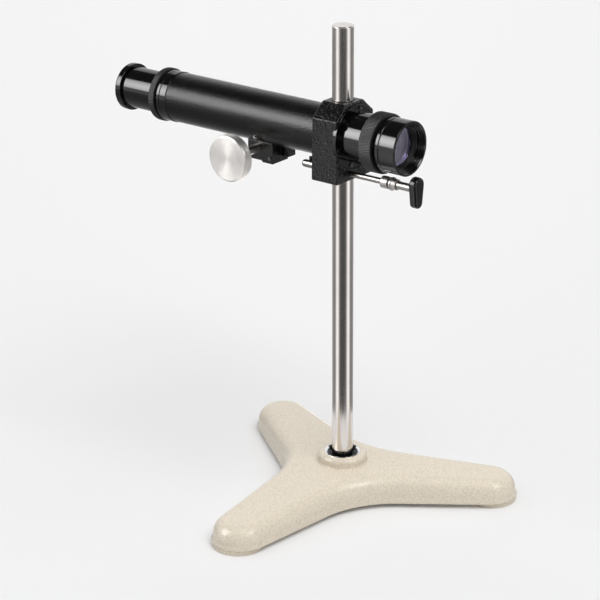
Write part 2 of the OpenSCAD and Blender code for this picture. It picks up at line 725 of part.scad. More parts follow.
// Straight rack let into the draw tube, its teeth facing the pinion
module rack() {
    half_line = rack_pitch / 4 - backlash / 4;
    tip = rack_line + gear_m;
    n_left = floor((rack_left - pinion_x) / rack_pitch - 0.5);
    n_right = floor((pinion_x - rack_right) / rack_pitch - 0.5);
    color(brass) translate([0, 0, axis_h]) rotate([90, 0, 0]) linear_extrude(rack_w, center = true)
        polygon(concat([[-rack_right, -draw_in_r], [-rack_left, -draw_in_r], [-rack_left, -rack_floor]],
            [for (i = [-n_left:n_right]) let (x = -pinion_x + i * rack_pitch,
                wide = half_line + (rack_line - rack_floor) * tan(pressure),
                    thin = half_line - gear_m * tan(pressure)) each
                [[x - wide, -rack_floor], [x - thin, -tip], [x + thin, -tip], [x + wide, -rack_floor]]],
            [[-rack_right, -rack_floor]]));
}

// Ring on the draw tube's inner end, which slides in the main tube
module guide_ring() {
    color(brass) ring_x(tube_in_r - run, draw_r + fit, -draw_start - guide_w, -draw_start);
}

// Reticle ring with two crossed wires, in the draw tube
module crosswire_ring() {
    wire_r = 0.1;
    color(brass) union() {
        ring_x(draw_in_r - fit, draw_in_r - 3, -wire_x, -wire_x + 3);
        for (turn = [0, 90]) on_axis() rotate(turn) translate([0, 0, wire_r - wire_x]) rotate([90, 0, 0])
            cylinder(r = wire_r, h = 2 * draw_in_r - 4, center = true, $fn = 16);
    }
}

// Eyepiece: flange with the eye hole, and a barrel that slides in the draw tube
module eyepiece_body() {
    r = eye_flange_d / 2;
    color(gloss) turned([[5.2, -eye_end + 1.6], [7.4, -eye_end], [r - 1.6, -eye_end], [r, -eye_end + 1.6],
        [r, -eye_flange_x - 0.4], [r - 0.4, -eye_flange_x], [eye_r, -eye_flange_x], [eye_r, -eye_tip],
        [field_lens_r + fit, -eye_tip], [field_lens_r + fit, -field_x], [eye_bore_r, -field_x],
        [eye_bore_r, -eye_lens_x + 3], [eye_lens_r + fit, -eye_lens_x + 3], [eye_lens_r + fit, -eye_lens_x - 3],
        [5.2, -eye_lens_x - 3]]);
}

// Field lens at the inner end of the eyepiece
module field_lens() {
    back = [for (i = [0:6]) let (r = field_lens_r * i / 6) [r, -field_x + 0.05 + sag(r, 40)]];
    color(glass) turned(concat(back, [[field_lens_r, -field_x + 3.4], [0, -field_x + 3.4]]));
}

// Ring that holds the field lens
module field_lens_ring() {
    color(black) ring_x(field_lens_r, field_lens_r - 1.8, -field_x + 3.45, -eye_tip - 0.1);
}

// Eye lens behind the eye hole
module eye_lens() {
    edge = eye_lens_r;
    front = [for (i = [6:-1:0]) let (r = edge * i / 6) [r, -eye_lens_x + 1.4 - sag(r, 20)]];
    color(glass) turned(concat([[0, -eye_lens_x - 2.9], [edge, -eye_lens_x - 2.9]], front));
}

// Ring that holds the eye lens
module eye_lens_ring() {
    color(black) turned([[eye_lens_r - 1.5, -eye_lens_x + 1.2], [eye_lens_r, -eye_lens_x - 0.2],
        [eye_lens_r, -eye_lens_x + 2.6], [eye_lens_r - 1.5, -eye_lens_x + 2.6]]);
}

// Spindle across the block: thick rounded end, eccentric beside the pillar's groove, long thin rod
module clamp_spindle() {
    color(nickel) difference() {
        on_spindle() union() {
            translate([0, 0, stub_x - stub_len]) rotate_extrude($fn = small) polygon(concat([[0, 0]],
                arc([stub_r - 2, 2], 2, -90, 0, 6), [[stub_r, stub_len], [0, stub_len]]));
            translate([0, 0, stub_x - eps]) cylinder(r = spindle_r, h = -cam_half - stub_x + eps, $fn = small);
            translate([0, throw, -cam_half - eps]) cylinder(r = cam_r, h = 2 * cam_half + 2 * eps, $fn = small);
            translate([0, 0, cam_half]) cylinder(r = spindle_r, h = collar_x + 5 - cam_half, $fn = small);
        }
        pin_place() translate([0, 0, -2]) cylinder(r = stop_pin_r + fit, h = 2 + past, $fn = small);
    }
}

// Black pin in the spindle's thick end
module stop_pin() {
    color(black) pin_place() translate([0, 0, fit - 2]) cylinder(r = stop_pin_r, h = 5, $fn = small);
}

// Collar that joins the spindle to the lever's shank
module shank_collar() {
    color(bright) on_spindle() translate([0, 0, collar_x]) difference() {
        rotate_extrude($fn = fine) polygon([[0, 0], [3.4, 0], [4.5, 1.1], [4.5, 6.9], [3.4, 6.9], [3.4, 8.7],
            [4.9, 8.7],
            [4.9, 10], [4.3, 10.4], [3.9, 14], [0, 14]]);
        translate([0, 0, -past]) cylinder(r = spindle_r + fit, h = 6 + past, $fn = small);
        translate([0, 0, 9]) cylinder(r = shank_d / 2 + fit, h = 6, $fn = small);
    }
}

// Shank of the lever
module lever_shank() {
    color(nickel) on_spindle() translate([0, 0, collar_x + 9.1])
        cylinder(r = shank_d / 2, h = handle_x + handle_t - 2 - collar_x - 9.1, $fn = small);
}

// Black handle that hangs from the shank
module lever_handle() {
    top_r = 5.8;
    low_r = 4.2;
    rise = 3.2;
    color(gloss) translate([handle_x, -spindle_y, spindle_z]) difference() {
        minkowski() {
            rotate([90, 0, 90]) translate([0, 0, 0.9]) linear_extrude(handle_t - 1.8) hull() {
                translate([0, rise]) circle(top_r - 0.9, $fn = 48);
                translate([0, rise + top_r + low_r - handle_len]) circle(low_r - 0.9, $fn = 48);
            }
            sphere(0.9, $fn = 12);
        }
        rotate([0, 90, 0]) translate([0, 0, -past]) cylinder(r = shank_d / 2 + fit,
            h = handle_t - 2 + past + fit, $fn = small);
    }
}

// Sizes and places that several pieces share
neck_r = tube_in_r - 0.4;
flange_turns = [for (k = [0:5]) 165 + 60 * k];
eye_lens_x = eye_flange_x + 0.6;
cam_half = 7.4;
stop_pin_r = 1.2;
lug_len = 8;
lug_back = 8;
lug_down = 27.6;

// Place of the stop pin on the spindle's thick end, with the height upwards
module pin_place() {
    translate([stub_x - stub_len + 7, -spindle_y, spindle_z + stub_r]) children();
}

// Places of the cover plate's screws, with the height towards the front
module plate_screw_places() {
    for (p = [[housing_left - 2.6, housing_down - 3.4], [housing_right + 2.6, housing_down - 4]])
        translate([-p[0], 0, axis_h - p[1]]) rotate([90, 0, 0]) children();
}

// Place of the stop screw, with the height out of the tube's flank
module stop_place() {
    translate([-pinion_x + 2.8, 0, axis_h]) rotate([130, 0, 0]) translate([0, 0, tube_r]) children();
}

base_casting();
foot_pads();
pillar_ring();
pillar();
pillar_washer();
pillar_screw();
clamp_block();
scale_rod();
main_tube();
tube_baffle();
end_collar();
draw_lock_ring();
barrel();
flange_screws();
barrel_lock_ring();
objective_cell();
flint_lens();
crown_lens();
lens_retainer();
pinion_housing();
housing_plate();
plate_screws();
stop_screw();
pinion_shaft();
focus_knob();
draw_tube();
rack();
guide_ring();
crosswire_ring();
eyepiece_body();
field_lens();
field_lens_ring();
eye_lens();
eye_lens_ring();
clamp_spindle();
stop_pin();
shank_collar();
lever_shank();
lever_handle();
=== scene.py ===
import math

import bmesh
import bpy
import numpy as np
from bpy.props import FloatProperty, FloatVectorProperty, IntProperty, PointerProperty
from mathutils import Matrix, Vector


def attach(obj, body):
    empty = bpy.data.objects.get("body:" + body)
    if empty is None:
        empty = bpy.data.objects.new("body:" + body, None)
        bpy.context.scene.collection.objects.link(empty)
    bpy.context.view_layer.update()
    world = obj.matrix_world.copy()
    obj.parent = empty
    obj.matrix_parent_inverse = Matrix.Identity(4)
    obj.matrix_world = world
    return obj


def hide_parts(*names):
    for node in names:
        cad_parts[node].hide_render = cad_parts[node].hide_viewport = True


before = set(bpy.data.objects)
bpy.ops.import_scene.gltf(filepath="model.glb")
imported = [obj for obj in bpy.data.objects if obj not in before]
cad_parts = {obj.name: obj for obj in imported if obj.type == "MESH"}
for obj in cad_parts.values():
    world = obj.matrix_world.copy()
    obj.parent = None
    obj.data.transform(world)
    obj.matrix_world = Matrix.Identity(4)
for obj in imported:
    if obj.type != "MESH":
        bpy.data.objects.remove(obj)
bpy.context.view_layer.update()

bl_info = {
    "name": "Reading telescope",
    "version": (1, 0, 0),
    "blender": (4, 5, 0),
    "location": "View3D > Sidebar > Telescope",
    "description": "Dresses a reading telescope on its pillar stand, piece by piece",
    "category": "Object",
}

# Metres in a millimetre
MM = 0.001

# Places that several pieces share, in millimetres: heights over the floor, or x along the tube, and radii
AXIS_H = 284.5
BLOCK_TOP = AXIS_H + 25.5
BLOCK_BASE = AXIS_H - 31.6
SPINDLE_Y = -7.0
SPINDLE_Z = BLOCK_BASE + 5.6
PINION_X = -73.2
PINION_Z = AXIS_H - 22.435
PILLAR_R = 8.0
PILLAR_BORE = 8.03
PILLAR_FOOT = 12.0
DISH_SEAT = 28.2
BOSS_TOP = 32.6
SCREW_BORE = 4.3
TUBE_R = 19.0
TUBE_BORE = 18.0
TUBE_BACK = -155.2
DRAW_R = 15.875
DRAW_BORE = 14.625
BARREL_R = 18.7
BARREL_BORE = 16.7
CELL_R = 20.1
CELL_BACK = 40.95

# Where the legs point, and how many points the outline has round a leg's end and between two legs
LEGS = np.radians([270.0, 30.0, 150.0])
PER_LEG = 49
PER_SIDE = 64

# Metres: the floor's half width, the backdrop, and where the camera stands
FLOOR_HALF = 30.0
BACKDROP_R = 9.0
BACKDROP_LOW = 1.6
BACKDROP_RISE = 5.6
CAMERA_AT = (0.92541, -1.20239, 0.75150)

# The corners of a square, from its middle
SQUARE = ((-1, -1), (1, -1), (1, 1), (-1, 1))

# Each place is a turning axis: a point on it, its direction, and two directions across it
PLACES = {
    "pillar": ((0, 0, 0), (0, 0, 1), (1, 0, 0), (0, 1, 0)),
    "tube": ((0, 0, AXIS_H), (1, 0, 0), (0, 1, 0), (0, 0, 1)),
    "spindle": ((0, SPINDLE_Y, SPINDLE_Z), (1, 0, 0), (0, 1, 0), (0, 0, 1)),
    "pinion": ((PINION_X, 0, PINION_Z), (0, -1, 0), (1, 0, 0), (0, 0, 1)),
}


class StandSizes(bpy.types.PropertyGroup):
    """Sizes of the stand, in millimetres"""

    reach: FloatProperty(name="Leg reach", default=116.0, min=80, max=140,
                         description="Middle of the legs to the centre of a leg's round end")
    end_r: FloatProperty(name="Leg end radius", default=21.5, min=15, max=35,
                         description="Radius of each leg's round end")
    waist: FloatProperty(name="Waist", default=44.0, min=30, max=60,
                         description="Middle of the legs to the hollow side between two legs")
    hollow: FloatProperty(name="Hollow radius", default=72.0, min=40, max=140,
                          description="Radius of the hollow side between two legs")
    left: FloatProperty(name="Middle to the left", default=4.0, min=0, max=8,
                        description="How far the middle of the legs lies to the left of the pillar")
    front: FloatProperty(name="Middle to the front", default=1.0, min=0, max=8,
                         description="How far the middle of the legs lies in front of the pillar")
    draft: FloatProperty(name="Side draft", default=1.3, min=0, max=3,
                         description="How far the sides lean in below the edge")
    edge_in: FloatProperty(name="Edge inwards", default=9.5, min=4, max=14,
                           description="How far the casting's rounded edge reaches inwards")
    edge_down: FloatProperty(name="Edge down", default=12.5, min=4, max=14,
                             description="How far the casting's rounded edge reaches down")
    foot: FloatProperty(name="Foot height", default=3.5, min=1, max=5,
                        description="Height of the round feet under the leg ends")
    crown: FloatProperty(name="Crown", default=25.5, min=20, max=30,
                         description="Height of the casting under the boss")
    tip: FloatProperty(name="Tip", description="Height of the casting at a leg's tip", default=19.5, min=12, max=24)


class KnurlSizes(bpy.types.PropertyGroup):
    """Knurling of the lock rings"""

    wide_teeth: IntProperty(name="Wide ring teeth", default=120, min=40, max=200,
                            description="Ridges round the wide lock ring")
    narrow_teeth: IntProperty(name="Narrow ring teeth", default=96, min=40, max=200,
                              description="Ridges round the narrow lock ring")
    depth: FloatProperty(name="Depth", default=0.3, min=0.05, max=0.6,
                         description="Depth of the ridges, in millimetres")


class FinishColours(bpy.types.PropertyGroup):
    """Colours of the finishes"""

    enamel: FloatVectorProperty(name="Enamel", subtype="COLOR", size=3, min=0, max=1, default=(0.80, 0.715, 0.585),
                                description="Cream enamel of the casting")
    nickel: FloatVectorProperty(name="Nickel", subtype="COLOR", size=3, min=0, max=1, default=(0.80, 0.755, 0.725),
                                description="Nickel plate of the rods")
    alloy: FloatVectorProperty(name="Alloy", subtype="COLOR", size=3, min=0, max=1, default=(0.93, 0.90, 0.87),
                               description="Turned alloy of the knob")
    black: FloatVectorProperty(name="Black", subtype="COLOR", size=3, min=0, max=1, default=(0.003, 0.003, 0.0031),
                               description="Black enamel of the tube")
    coating: FloatVectorProperty(name="Coating", subtype="COLOR", size=3, min=0, max=1, default=(0.45, 0.36, 0.70),
                                 description="Reflection of the coated lens")


class StageValues(bpy.types.PropertyGroup):
    """Camera and light"""

    lens: FloatProperty(name="Lens", default=131.64, min=30, max=300,
                        description="Focal length on a 36 mm sensor, in millimetres")
    azimuth: FloatProperty(name="Azimuth", subtype="ANGLE", default=math.radians(38.781),
                           description="Camera's turn round the telescope")
    elevation: FloatProperty(name="Elevation", subtype="ANGLE", default=math.radians(21.438),
                             description="Camera's height angle")
    roll: FloatProperty(name="Roll", description="Camera's lean", subtype="ANGLE", default=math.radians(-0.366))
    left_box: FloatProperty(name="Left softbox", default=9.5, min=0, max=20,
                            description="Brightness of the softbox at the front left")
    right_box: FloatProperty(name="Right softbox", default=8.0, min=0, max=20,
                             description="Brightness of the softbox at the right")
    overhead: FloatProperty(name="Overhead light", default=1.5, min=0, max=5,
                            description="Strength of the soft light from above the right side")
    fill: FloatProperty(name="Fill light", default=1.85, min=0, max=5,
                        description="Strength of the broad light from above")
    sky: FloatProperty(name="Room", default=0.05, min=0, max=1,
                       description="Brightness of the room round the telescope")
    floor_lift: FloatProperty(name="Floor lift", default=0.06, min=0, max=1,
                              description="What is added to the floor's own brightness")


def unit_rows(v):
    """Each row of v divided by its length."""
    return v / np.maximum(np.linalg.norm(v, axis=-1, keepdims=True), 1e-12)


def rounded(corners):
    """A profile from corners (r, h, fillet): each corner with a fillet becomes an arc tangent to both sides,
    with one more point just past each end of the arc, so that flats stay flat when they are shaded smoothly."""
    steps, past = 5, 0.04
    pts = np.array([c[:2] for c in corners], float)
    rad = [c[2] if len(c) > 2 else 0.0 for c in corners]
    out = []
    for i, (p, r) in enumerate(zip(pts, rad)):
        if r <= 0 or i in (0, len(pts) - 1):
            out.append(p[None])
            continue
        a, b = unit_rows(pts[i - 1] - p), unit_rows(pts[i + 1] - p)
        half = math.acos(np.clip(a @ b, -1, 1)) / 2
        reach = r / math.tan(half)
        centre = p + unit_rows(a + b) * r / math.sin(half)
        start, end = p + a * reach, p + b * reach
        t = np.linspace(0, 1, steps + 1)[:, None]
        turn = math.pi - 2 * half
        u, w = unit_rows(start - centre), unit_rows(end - centre)
        arc = centre + r * (np.sin((1 - t) * turn) * u + np.sin(t * turn) * w) / math.sin(turn)
        out += [(start + a * past)[None], arc, (end + b * past)[None]]
    return np.concatenate(out)


def grid_faces(rows, cols, loop_rows=False):
    """Quads of a grid whose columns close into a ring."""
    i = np.arange(rows if loop_rows else rows - 1)[:, None]
    j = np.arange(cols)[None]
    k, n = (i + 1) % rows, (j + 1) % cols
    return np.stack([i * cols + j, i * cols + n, k * cols + n, k * cols + j], -1).reshape(-1, 4)


def piece(name, points, faces, body, material, stands_for, sharp=35.0):
    """A finished object from points in millimetres and faces: doubles merged, faces outwards, sharp past an angle."""
    mesh = bpy.data.meshes.new(name)
    if hasattr(faces, "tolist"):
        faces = faces.tolist()
    mesh.from_pydata((np.asarray(points, float).reshape(-1, 3) * MM).tolist(), [], faces)
    work = bmesh.new()
    work.from_mesh(mesh)
    bmesh.ops.remove_doubles(work, verts=work.verts, dist=1e-7)
    bmesh.ops.recalc_face_normals(work, faces=work.faces)
    work.to_mesh(mesh)
    work.free()
    mesh.shade_smooth()
    mesh.set_sharp_from_angle(angle=math.radians(sharp))
    made = bpy.data.objects.new(name, mesh)
    bpy.context.scene.collection.objects.link(made)
    mesh.materials.append(material)
    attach(made, body)
    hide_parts(*stands_for)


def swept(place, radius, height, turn):
    """Points at a radius and height about a place's axis, at an angle turn: arrays that broadcast together."""
    origin, along, across, over = (np.array(v, float) for v in PLACES[place])
    r, h, a = np.broadcast_arrays(radius, height, turn)
    return origin + h[..., None] * along + (r * np.cos(a))[..., None] * across + (r * np.sin(a))[..., None] * over


def turned(name, place, corners, body, material, stands_for, around=160):
    """A turned piece: its rounded profile swept once round the axis and closed on itself."""
    profile = rounded(corners)
    turn = np.linspace(0, 2 * math.pi, around, endpoint=False)
    points = swept(place, profile[:, 0, None], profile[:, 1, None], turn[None])
    piece(name, points, grid_faces(len(profile), around, True), body, material, stands_for)


def knurled(name, place, outer, bore, x0, x1, teeth, depth, body, material, stands_for, slant):
    """A ring with rounded edges, whose ridges fade out at both ends and lean by slant radians a millimetre. With t for
    x - x0: r = outer - edge(t) - depth * fade(t) * (1 - |sin(teeth * (angle + slant * t) / 2)| ** 0.8)."""
    per_ridge, edge, fading, ridge_power = 8, 0.75, 0.8, 0.8
    end_rows = np.array([0.0, 0.12, 0.3, 0.55, 0.8])
    turn = np.linspace(0, 2 * math.pi, teeth * per_ridge, endpoint=False)[None]
    t = np.concatenate([end_rows, np.linspace(1.1, x1 - x0 - 1.1, 9), (x1 - x0) - end_rows[::-1]])
    near = np.minimum(t, (x1 - x0) - t)
    drop = edge * (1 - np.sqrt(np.clip(1 - (1 - np.clip(near / edge, 0, 1)) ** 2, 0, 1)))
    fade = np.clip(near / fading, 0, 1)
    ridge = np.abs(np.sin(teeth * (turn + slant * t[:, None]) / 2)) ** ridge_power
    r = outer - drop[:, None] - depth * fade[:, None] * (1 - ridge)
    ends = np.full_like(turn, bore)
    h = np.concatenate([[x0], x0 + t, [x1]])[:, None]
    points = swept(place, np.concatenate([ends, r, ends]), h, turn)
    piece(name, points, grid_faces(len(h), teeth * per_ridge, True), body, material, stands_for, 50.0)


def tree_of(name):
    """A new material, its node tree and its shader."""
    made = bpy.data.materials.new(name)
    made.use_nodes = True
    tree = made.node_tree
    shader = tree.nodes["Principled BSDF"]
    return made, tree, shader


def node(tree, kind, **values):
    """A new node with its plain properties set by name."""
    made = tree.nodes.new(kind)
    for key, value in values.items():
        setattr(made, key, value)
    return made


def maths(tree, kind, first, second=None):
    """What a maths node makes of one or two numbers or links."""
    made = node(tree, "ShaderNodeMath", operation=kind)
    for slot, value in zip(made.inputs, (first, second)):
        if isinstance(value, (int, float)):
            slot.default_value = value
        elif value is not None:
            tree.links.new(value, slot)
    return made.outputs[0]


def place_on(tree, centre=(0, 0, 0), stretch=(1, 1, 1)):
    """Object coordinates moved to a centre in millimetres and stretched."""
    coords = node(tree, "ShaderNodeTexCoord")
    mapping = node(tree, "ShaderNodeMapping", vector_type="POINT")
    mapping.inputs["Location"].default_value = [-c * MM * s for c, s in zip(centre, stretch)]
    mapping.inputs["Scale"].default_value = stretch
    tree.links.new(coords.outputs["Object"], mapping.inputs["Vector"])
    return mapping.outputs["Vector"]


def away(tree, centre, across):
    """The distance in metres to the axis through a centre: across is 1 for the directions across it and 0 along it."""
    made = node(tree, "ShaderNodeVectorMath", operation="LENGTH")
    tree.links.new(place_on(tree, centre, across), made.inputs[0])
    return made.outputs["Value"]


def noise(tree, vector, scale, detail=3.0, rough=0.55):
    """Cloudy noise from 0 to 1, scale being its waves in a metre."""
    made = node(tree, "ShaderNodeTexNoise")
    made.inputs["Scale"].default_value = scale
    made.inputs["Detail"].default_value = detail
    made.inputs["Roughness"].default_value = rough
    tree.links.new(vector, made.inputs["Vector"])
    return made.outputs["Fac"]


def cells_of(tree, vector, size, soft):
    """The distance to the middles of rounded cells about size millimetres across."""
    made = node(tree, "ShaderNodeTexVoronoi", feature="SMOOTH_F1")
    made.inputs["Scale"].default_value = 1000 / size
    made.inputs["Smoothness"].default_value = soft
    tree.links.new(vector, made.inputs["Vector"])
    return made.outputs["Distance"]


def ranged(tree, value, low, high, start=0.3, end=0.7):
    """A value's run from start to end carried to low and high."""
    made = node(tree, "ShaderNodeMapRange")
    for key, v in (("From Min", start), ("From Max", end), ("To Min", low), ("To Max", high)):
        made.inputs[key].default_value = v
    tree.links.new(value, made.inputs["Value"])
    return made.outputs["Result"]


def tinted(tree, shader, value, first, second):
    """A base colour that runs from the first colour to the second with a value from 0 to 1."""
    # Inputs 6 and 7 and output 2 are the colours of this node
    made = node(tree, "ShaderNodeMix", data_type="RGBA")
    made.inputs[6].default_value = (*first, 1)
    made.inputs[7].default_value = (*second, 1)
    tree.links.new(value, made.inputs[0])
    tree.links.new(made.outputs[2], shader.inputs["Base Color"])


def softened(tree, radius):
    """The surface's direction with the edges rounded by a radius in millimetres."""
    made = node(tree, "ShaderNodeBevel")
    made.inputs["Radius"].default_value = radius * MM
    return made.outputs[0]


def bumped(tree, shader, height, distance, before=None):
    """A bump from a height, in millimetres of distance, on top of an earlier one."""
    made = node(tree, "ShaderNodeBump")
    made.inputs["Strength"].default_value = 1.0
    made.inputs["Distance"].default_value = distance * MM
    tree.links.new(height, made.inputs["Height"])
    if before is not None:
        tree.links.new(before, made.inputs["Normal"])
    tree.links.new(made.outputs["Normal"], shader.inputs["Normal"])
    return made.outputs["Normal"]


def shade(colour, by):
    """A colour made lighter or darker."""
    return tuple(min(1.0, c * by) for c in colour)


def hammered(name, colour, cell, depth, roughness, painted_shade_contrast):
    """Hammertone enamel: soft dimples, each pressed in round its own middle, under a glossy skin with round edges,
    with painted shade: the colour is lighter at each cell's middle and darker towards its edge, following the bump.
    """
    made, tree, shader = tree_of(name)
    at = place_on(tree)
    warp = noise(tree, at, 300 / cell, 2)
    dimples = cells_of(tree, at, cell, 0.55)
    painted_cell_shade = ranged(tree, dimples, 0, 1, 0.1, 0.75)
    # Painted shade: darker towards each cell's edge and lighter at its middle, following the bump
    tinted(tree, shader, painted_cell_shade, shade(colour, 1 + painted_shade_contrast), shade(colour, 1 - painted_shade_contrast))
    tree.links.new(ranged(tree, warp, roughness * 0.8, roughness * 1.25), shader.inputs["Roughness"])
    first = bumped(tree, shader, dimples, -depth, softened(tree, 0.7))
    bumped(tree, shader, warp, depth * 0.6, first)
    return made


def wrinkled(name, colour, grain, depth, roughness):
    """Wrinkle enamel: rounded grains with painted shade darkening the furrows between them and a painted lighter crest
    on each, with a finer grain over them and a slow change of gloss."""
    made, tree, shader = tree_of(name)
    at = place_on(tree)
    grains = cells_of(tree, at, grain, 0.25)
    fine = noise(tree, at, 1800 / grain, 3, 0.6)
    broad = noise(tree, at, 18, 3)
    painted_furrow_shade = ranged(tree, grains, 0, 1, 0.15, 0.75)
    # Painted shade in the furrows (0.88) and painted light on the crests (1.05)
    tinted(tree, shader, painted_furrow_shade, shade(colour, 1.05), shade(colour, 0.88))
    tree.links.new(ranged(tree, broad, roughness * 0.85, roughness * 1.15), shader.inputs["Roughness"])
    first = bumped(tree, shader, grains, -depth)
    bumped(tree, shader, fine, depth * 0.5, first)
    return made


def enamelled(name, colour, grain, depth, roughness, index=1.5, edge=0.0):
    """Sprayed enamel: a fine orange-peel grain and faint changes of gloss, with edges rounded by edge millimetres."""
    made, tree, shader = tree_of(name)
    at = place_on(tree)
    fine = noise(tree, at, 1000 / grain, 4)
    broad = noise(tree, at, 25, 3)
    tinted(tree, shader, ranged(tree, fine, 0, 1), shade(colour, 0.8), shade(colour, 1.35))
    tree.links.new(ranged(tree, broad, roughness * 0.85, roughness * 1.2), shader.inputs["Roughness"])
    shader.inputs["IOR"].default_value = index
    bumped(tree, shader, fine, depth, softened(tree, edge) if edge else None)
    return made


def plated(name, colour, roughness, stretch=(1, 1, 1)):
    """Polished plate: metal with faint draw lines along the direction of least stretch and a slow change of gloss."""
    made, tree, shader = tree_of(name)
    draw_lines = noise(tree, place_on(tree, stretch=stretch), 900, 3)
    broad = noise(tree, place_on(tree), 40, 2)
    shader.inputs["Metallic"].default_value = 1.0
    tinted(tree, shader, ranged(tree, broad, 0, 1), shade(colour, 0.93), shade(colour, 1.03))
    tree.links.new(ranged(tree, draw_lines, roughness * 0.7, roughness * 1.4), shader.inputs["Roughness"])
    bumped(tree, shader, draw_lines, 0.004)
    return made


def chrome_painted_dark_inside(name, bright, dark, edge):
    """Chrome whose dished inside, nearer than edge millimetres to the pillar's axis, is painted near black as a
    painted dark reflection.
    """
    made, tree, shader = tree_of(name)
    stain = noise(tree, place_on(tree), 300, 2)
    rim = ranged(tree, away(tree, (0, 0, 0), (1, 1, 0)), 0, 1, edge * MM, (edge + 0.3) * MM)
    shader.inputs["Metallic"].default_value = 1.0
    # Painted dark reflection: the dish's inside takes the dark colour, the rim the bright chrome
    tinted(tree, shader, rim, dark, bright)
    tree.links.new(ranged(tree, stain, 0.04, 0.09), shader.inputs["Roughness"])
    return made


def lathe_cut(name, colour, roughness, place, pitch, sheen=0.0):
    """Metal faced on a lathe: a sine of the distance to the place's axis gives rings pitch millimetres apart, and a
    sheen runs across them."""
    made, tree, shader = tree_of(name)
    origin, along = PLACES[place][:2]
    distance = away(tree, origin, tuple(0.0 if a else 1.0 for a in along))
    rings = maths(tree, "SINE", maths(tree, "MULTIPLY", distance, 1000 * 2 * math.pi / pitch))
    stain = noise(tree, place_on(tree), 120, 3)
    shader.inputs["Metallic"].default_value = 1.0
    tinted(tree, shader, ranged(tree, stain, 0, 1), shade(colour, 0.9), shade(colour, 1.03))
    tree.links.new(ranged(tree, rings, roughness * 0.8, roughness * 1.25, -1, 1), shader.inputs["Roughness"])
    bumped(tree, shader, rings, 0.003)
    if sheen:
        round_axis = node(tree, "ShaderNodeTangent", direction_type="RADIAL", axis="Y")
        tree.links.new(round_axis.outputs[0], shader.inputs["Tangent"])
        shader.inputs["Anisotropic"].default_value = sheen
        shader.inputs["Anisotropic Rotation"].default_value = 0.25
    return made


def glazed(name, coating):
    """Coated lens glass: clear, with a coloured reflection that is strongest at a slant."""
    made, tree, shader = tree_of(name)
    haze = noise(tree, place_on(tree), 60, 2)
    shader.inputs["Base Color"].default_value = (0.93, 0.92, 0.97, 1)
    shader.inputs["Transmission Weight"].default_value = 1.0
    shader.inputs["IOR"].default_value = 1.5
    tree.links.new(ranged(tree, haze, 0.005, 0.03), shader.inputs["Roughness"])
    gloss = node(tree, "ShaderNodeBsdfGlossy")
    gloss.inputs["Color"].default_value = (*coating, 1)
    gloss.inputs["Roughness"].default_value = 0.06
    weight = node(tree, "ShaderNodeLayerWeight")
    weight.inputs["Blend"].default_value = 0.35
    mix = node(tree, "ShaderNodeMixShader")
    tree.links.new(ranged(tree, weight.outputs["Fresnel"], 0.0, 0.55, 0, 1), mix.inputs[0])
    tree.links.new(shader.outputs[0], mix.inputs[1])
    tree.links.new(gloss.outputs[0], mix.inputs[2])
    tree.links.new(mix.outputs[0], tree.nodes["Material Output"].inputs["Surface"])
    return made


def shown_rays(tree, glossy=True):
    """One for the camera's rays and those through glass, and for reflections where glossy says so, else nought."""
    path = node(tree, "ShaderNodeLightPath")
    shown = maths(tree, "MAXIMUM", path.outputs["Is Camera Ray"], path.outputs["Is Transmission Ray"])
    if glossy:
        shown = maths(tree, "MAXIMUM", shown, path.outputs["Is Glossy Ray"])
    return shown


def glowing(name, strength):
    """An evenly lit white surface."""
    made, tree, shader = tree_of(name)
    tree.nodes.remove(shader)
    glow = node(tree, "ShaderNodeEmission")
    glow.inputs["Strength"].default_value = strength
    tree.links.new(glow.outputs[0], tree.nodes["Material Output"].inputs["Surface"])
    return made


def outwards(azimuth, elevation):
    """The direction away from the telescope: azimuth runs from the front to the right, elevation upwards."""
    flat = math.cos(elevation)
    return Vector((math.sin(azimuth) * flat, -math.cos(azimuth) * flat, math.sin(elevation)))


def rightwards(azimuth):
    """The level direction to the right of one who looks in from an azimuth."""
    return Vector((math.cos(azimuth), math.sin(azimuth), 0))


def stage_mesh(name, points, faces, material, unseen=()):
    """A piece of the studio, in metres: never part of the telescope, and unseen by some kinds of rays."""
    mesh = bpy.data.meshes.new(name)
    mesh.from_pydata(points, [], faces)
    made = bpy.data.objects.new(name, mesh)
    bpy.context.scene.collection.objects.link(made)
    mesh.materials.append(material)
    for kind in unseen:
        setattr(made, "visible_" + kind, False)


def softbox(name, azimuth, elevation, width, height, strength):
    """A bright rectangle facing the telescope, brightest in its middle, which only reflections and glass show."""
    middle = Vector((0, 0, 0.2)) + outwards(azimuth, elevation) * 1.7
    side = rightwards(azimuth) * width / 2
    over = outwards(azimuth, elevation).cross(side).normalized() * height / 2
    made = glowing(name + "_glow", strength)
    tree = made.node_tree
    fall = node(tree, "ShaderNodeTexGradient", gradient_type="SPHERICAL")
    reach = 0.75 * max(width, height)
    tree.links.new(place_on(tree, middle * 1000, (1 / reach,) * 3), fall.inputs["Vector"])
    glow = ranged(tree, fall.outputs["Fac"], 0.25 * strength, strength, 0.0, 0.8)
    tree.links.new(glow, tree.nodes["Emission"].inputs["Strength"])
    corners = [middle + side * a + over * b for a, b in SQUARE]
    stage_mesh(name, corners, [(0, 1, 2, 3)], made, ("camera", "diffuse", "shadow"))


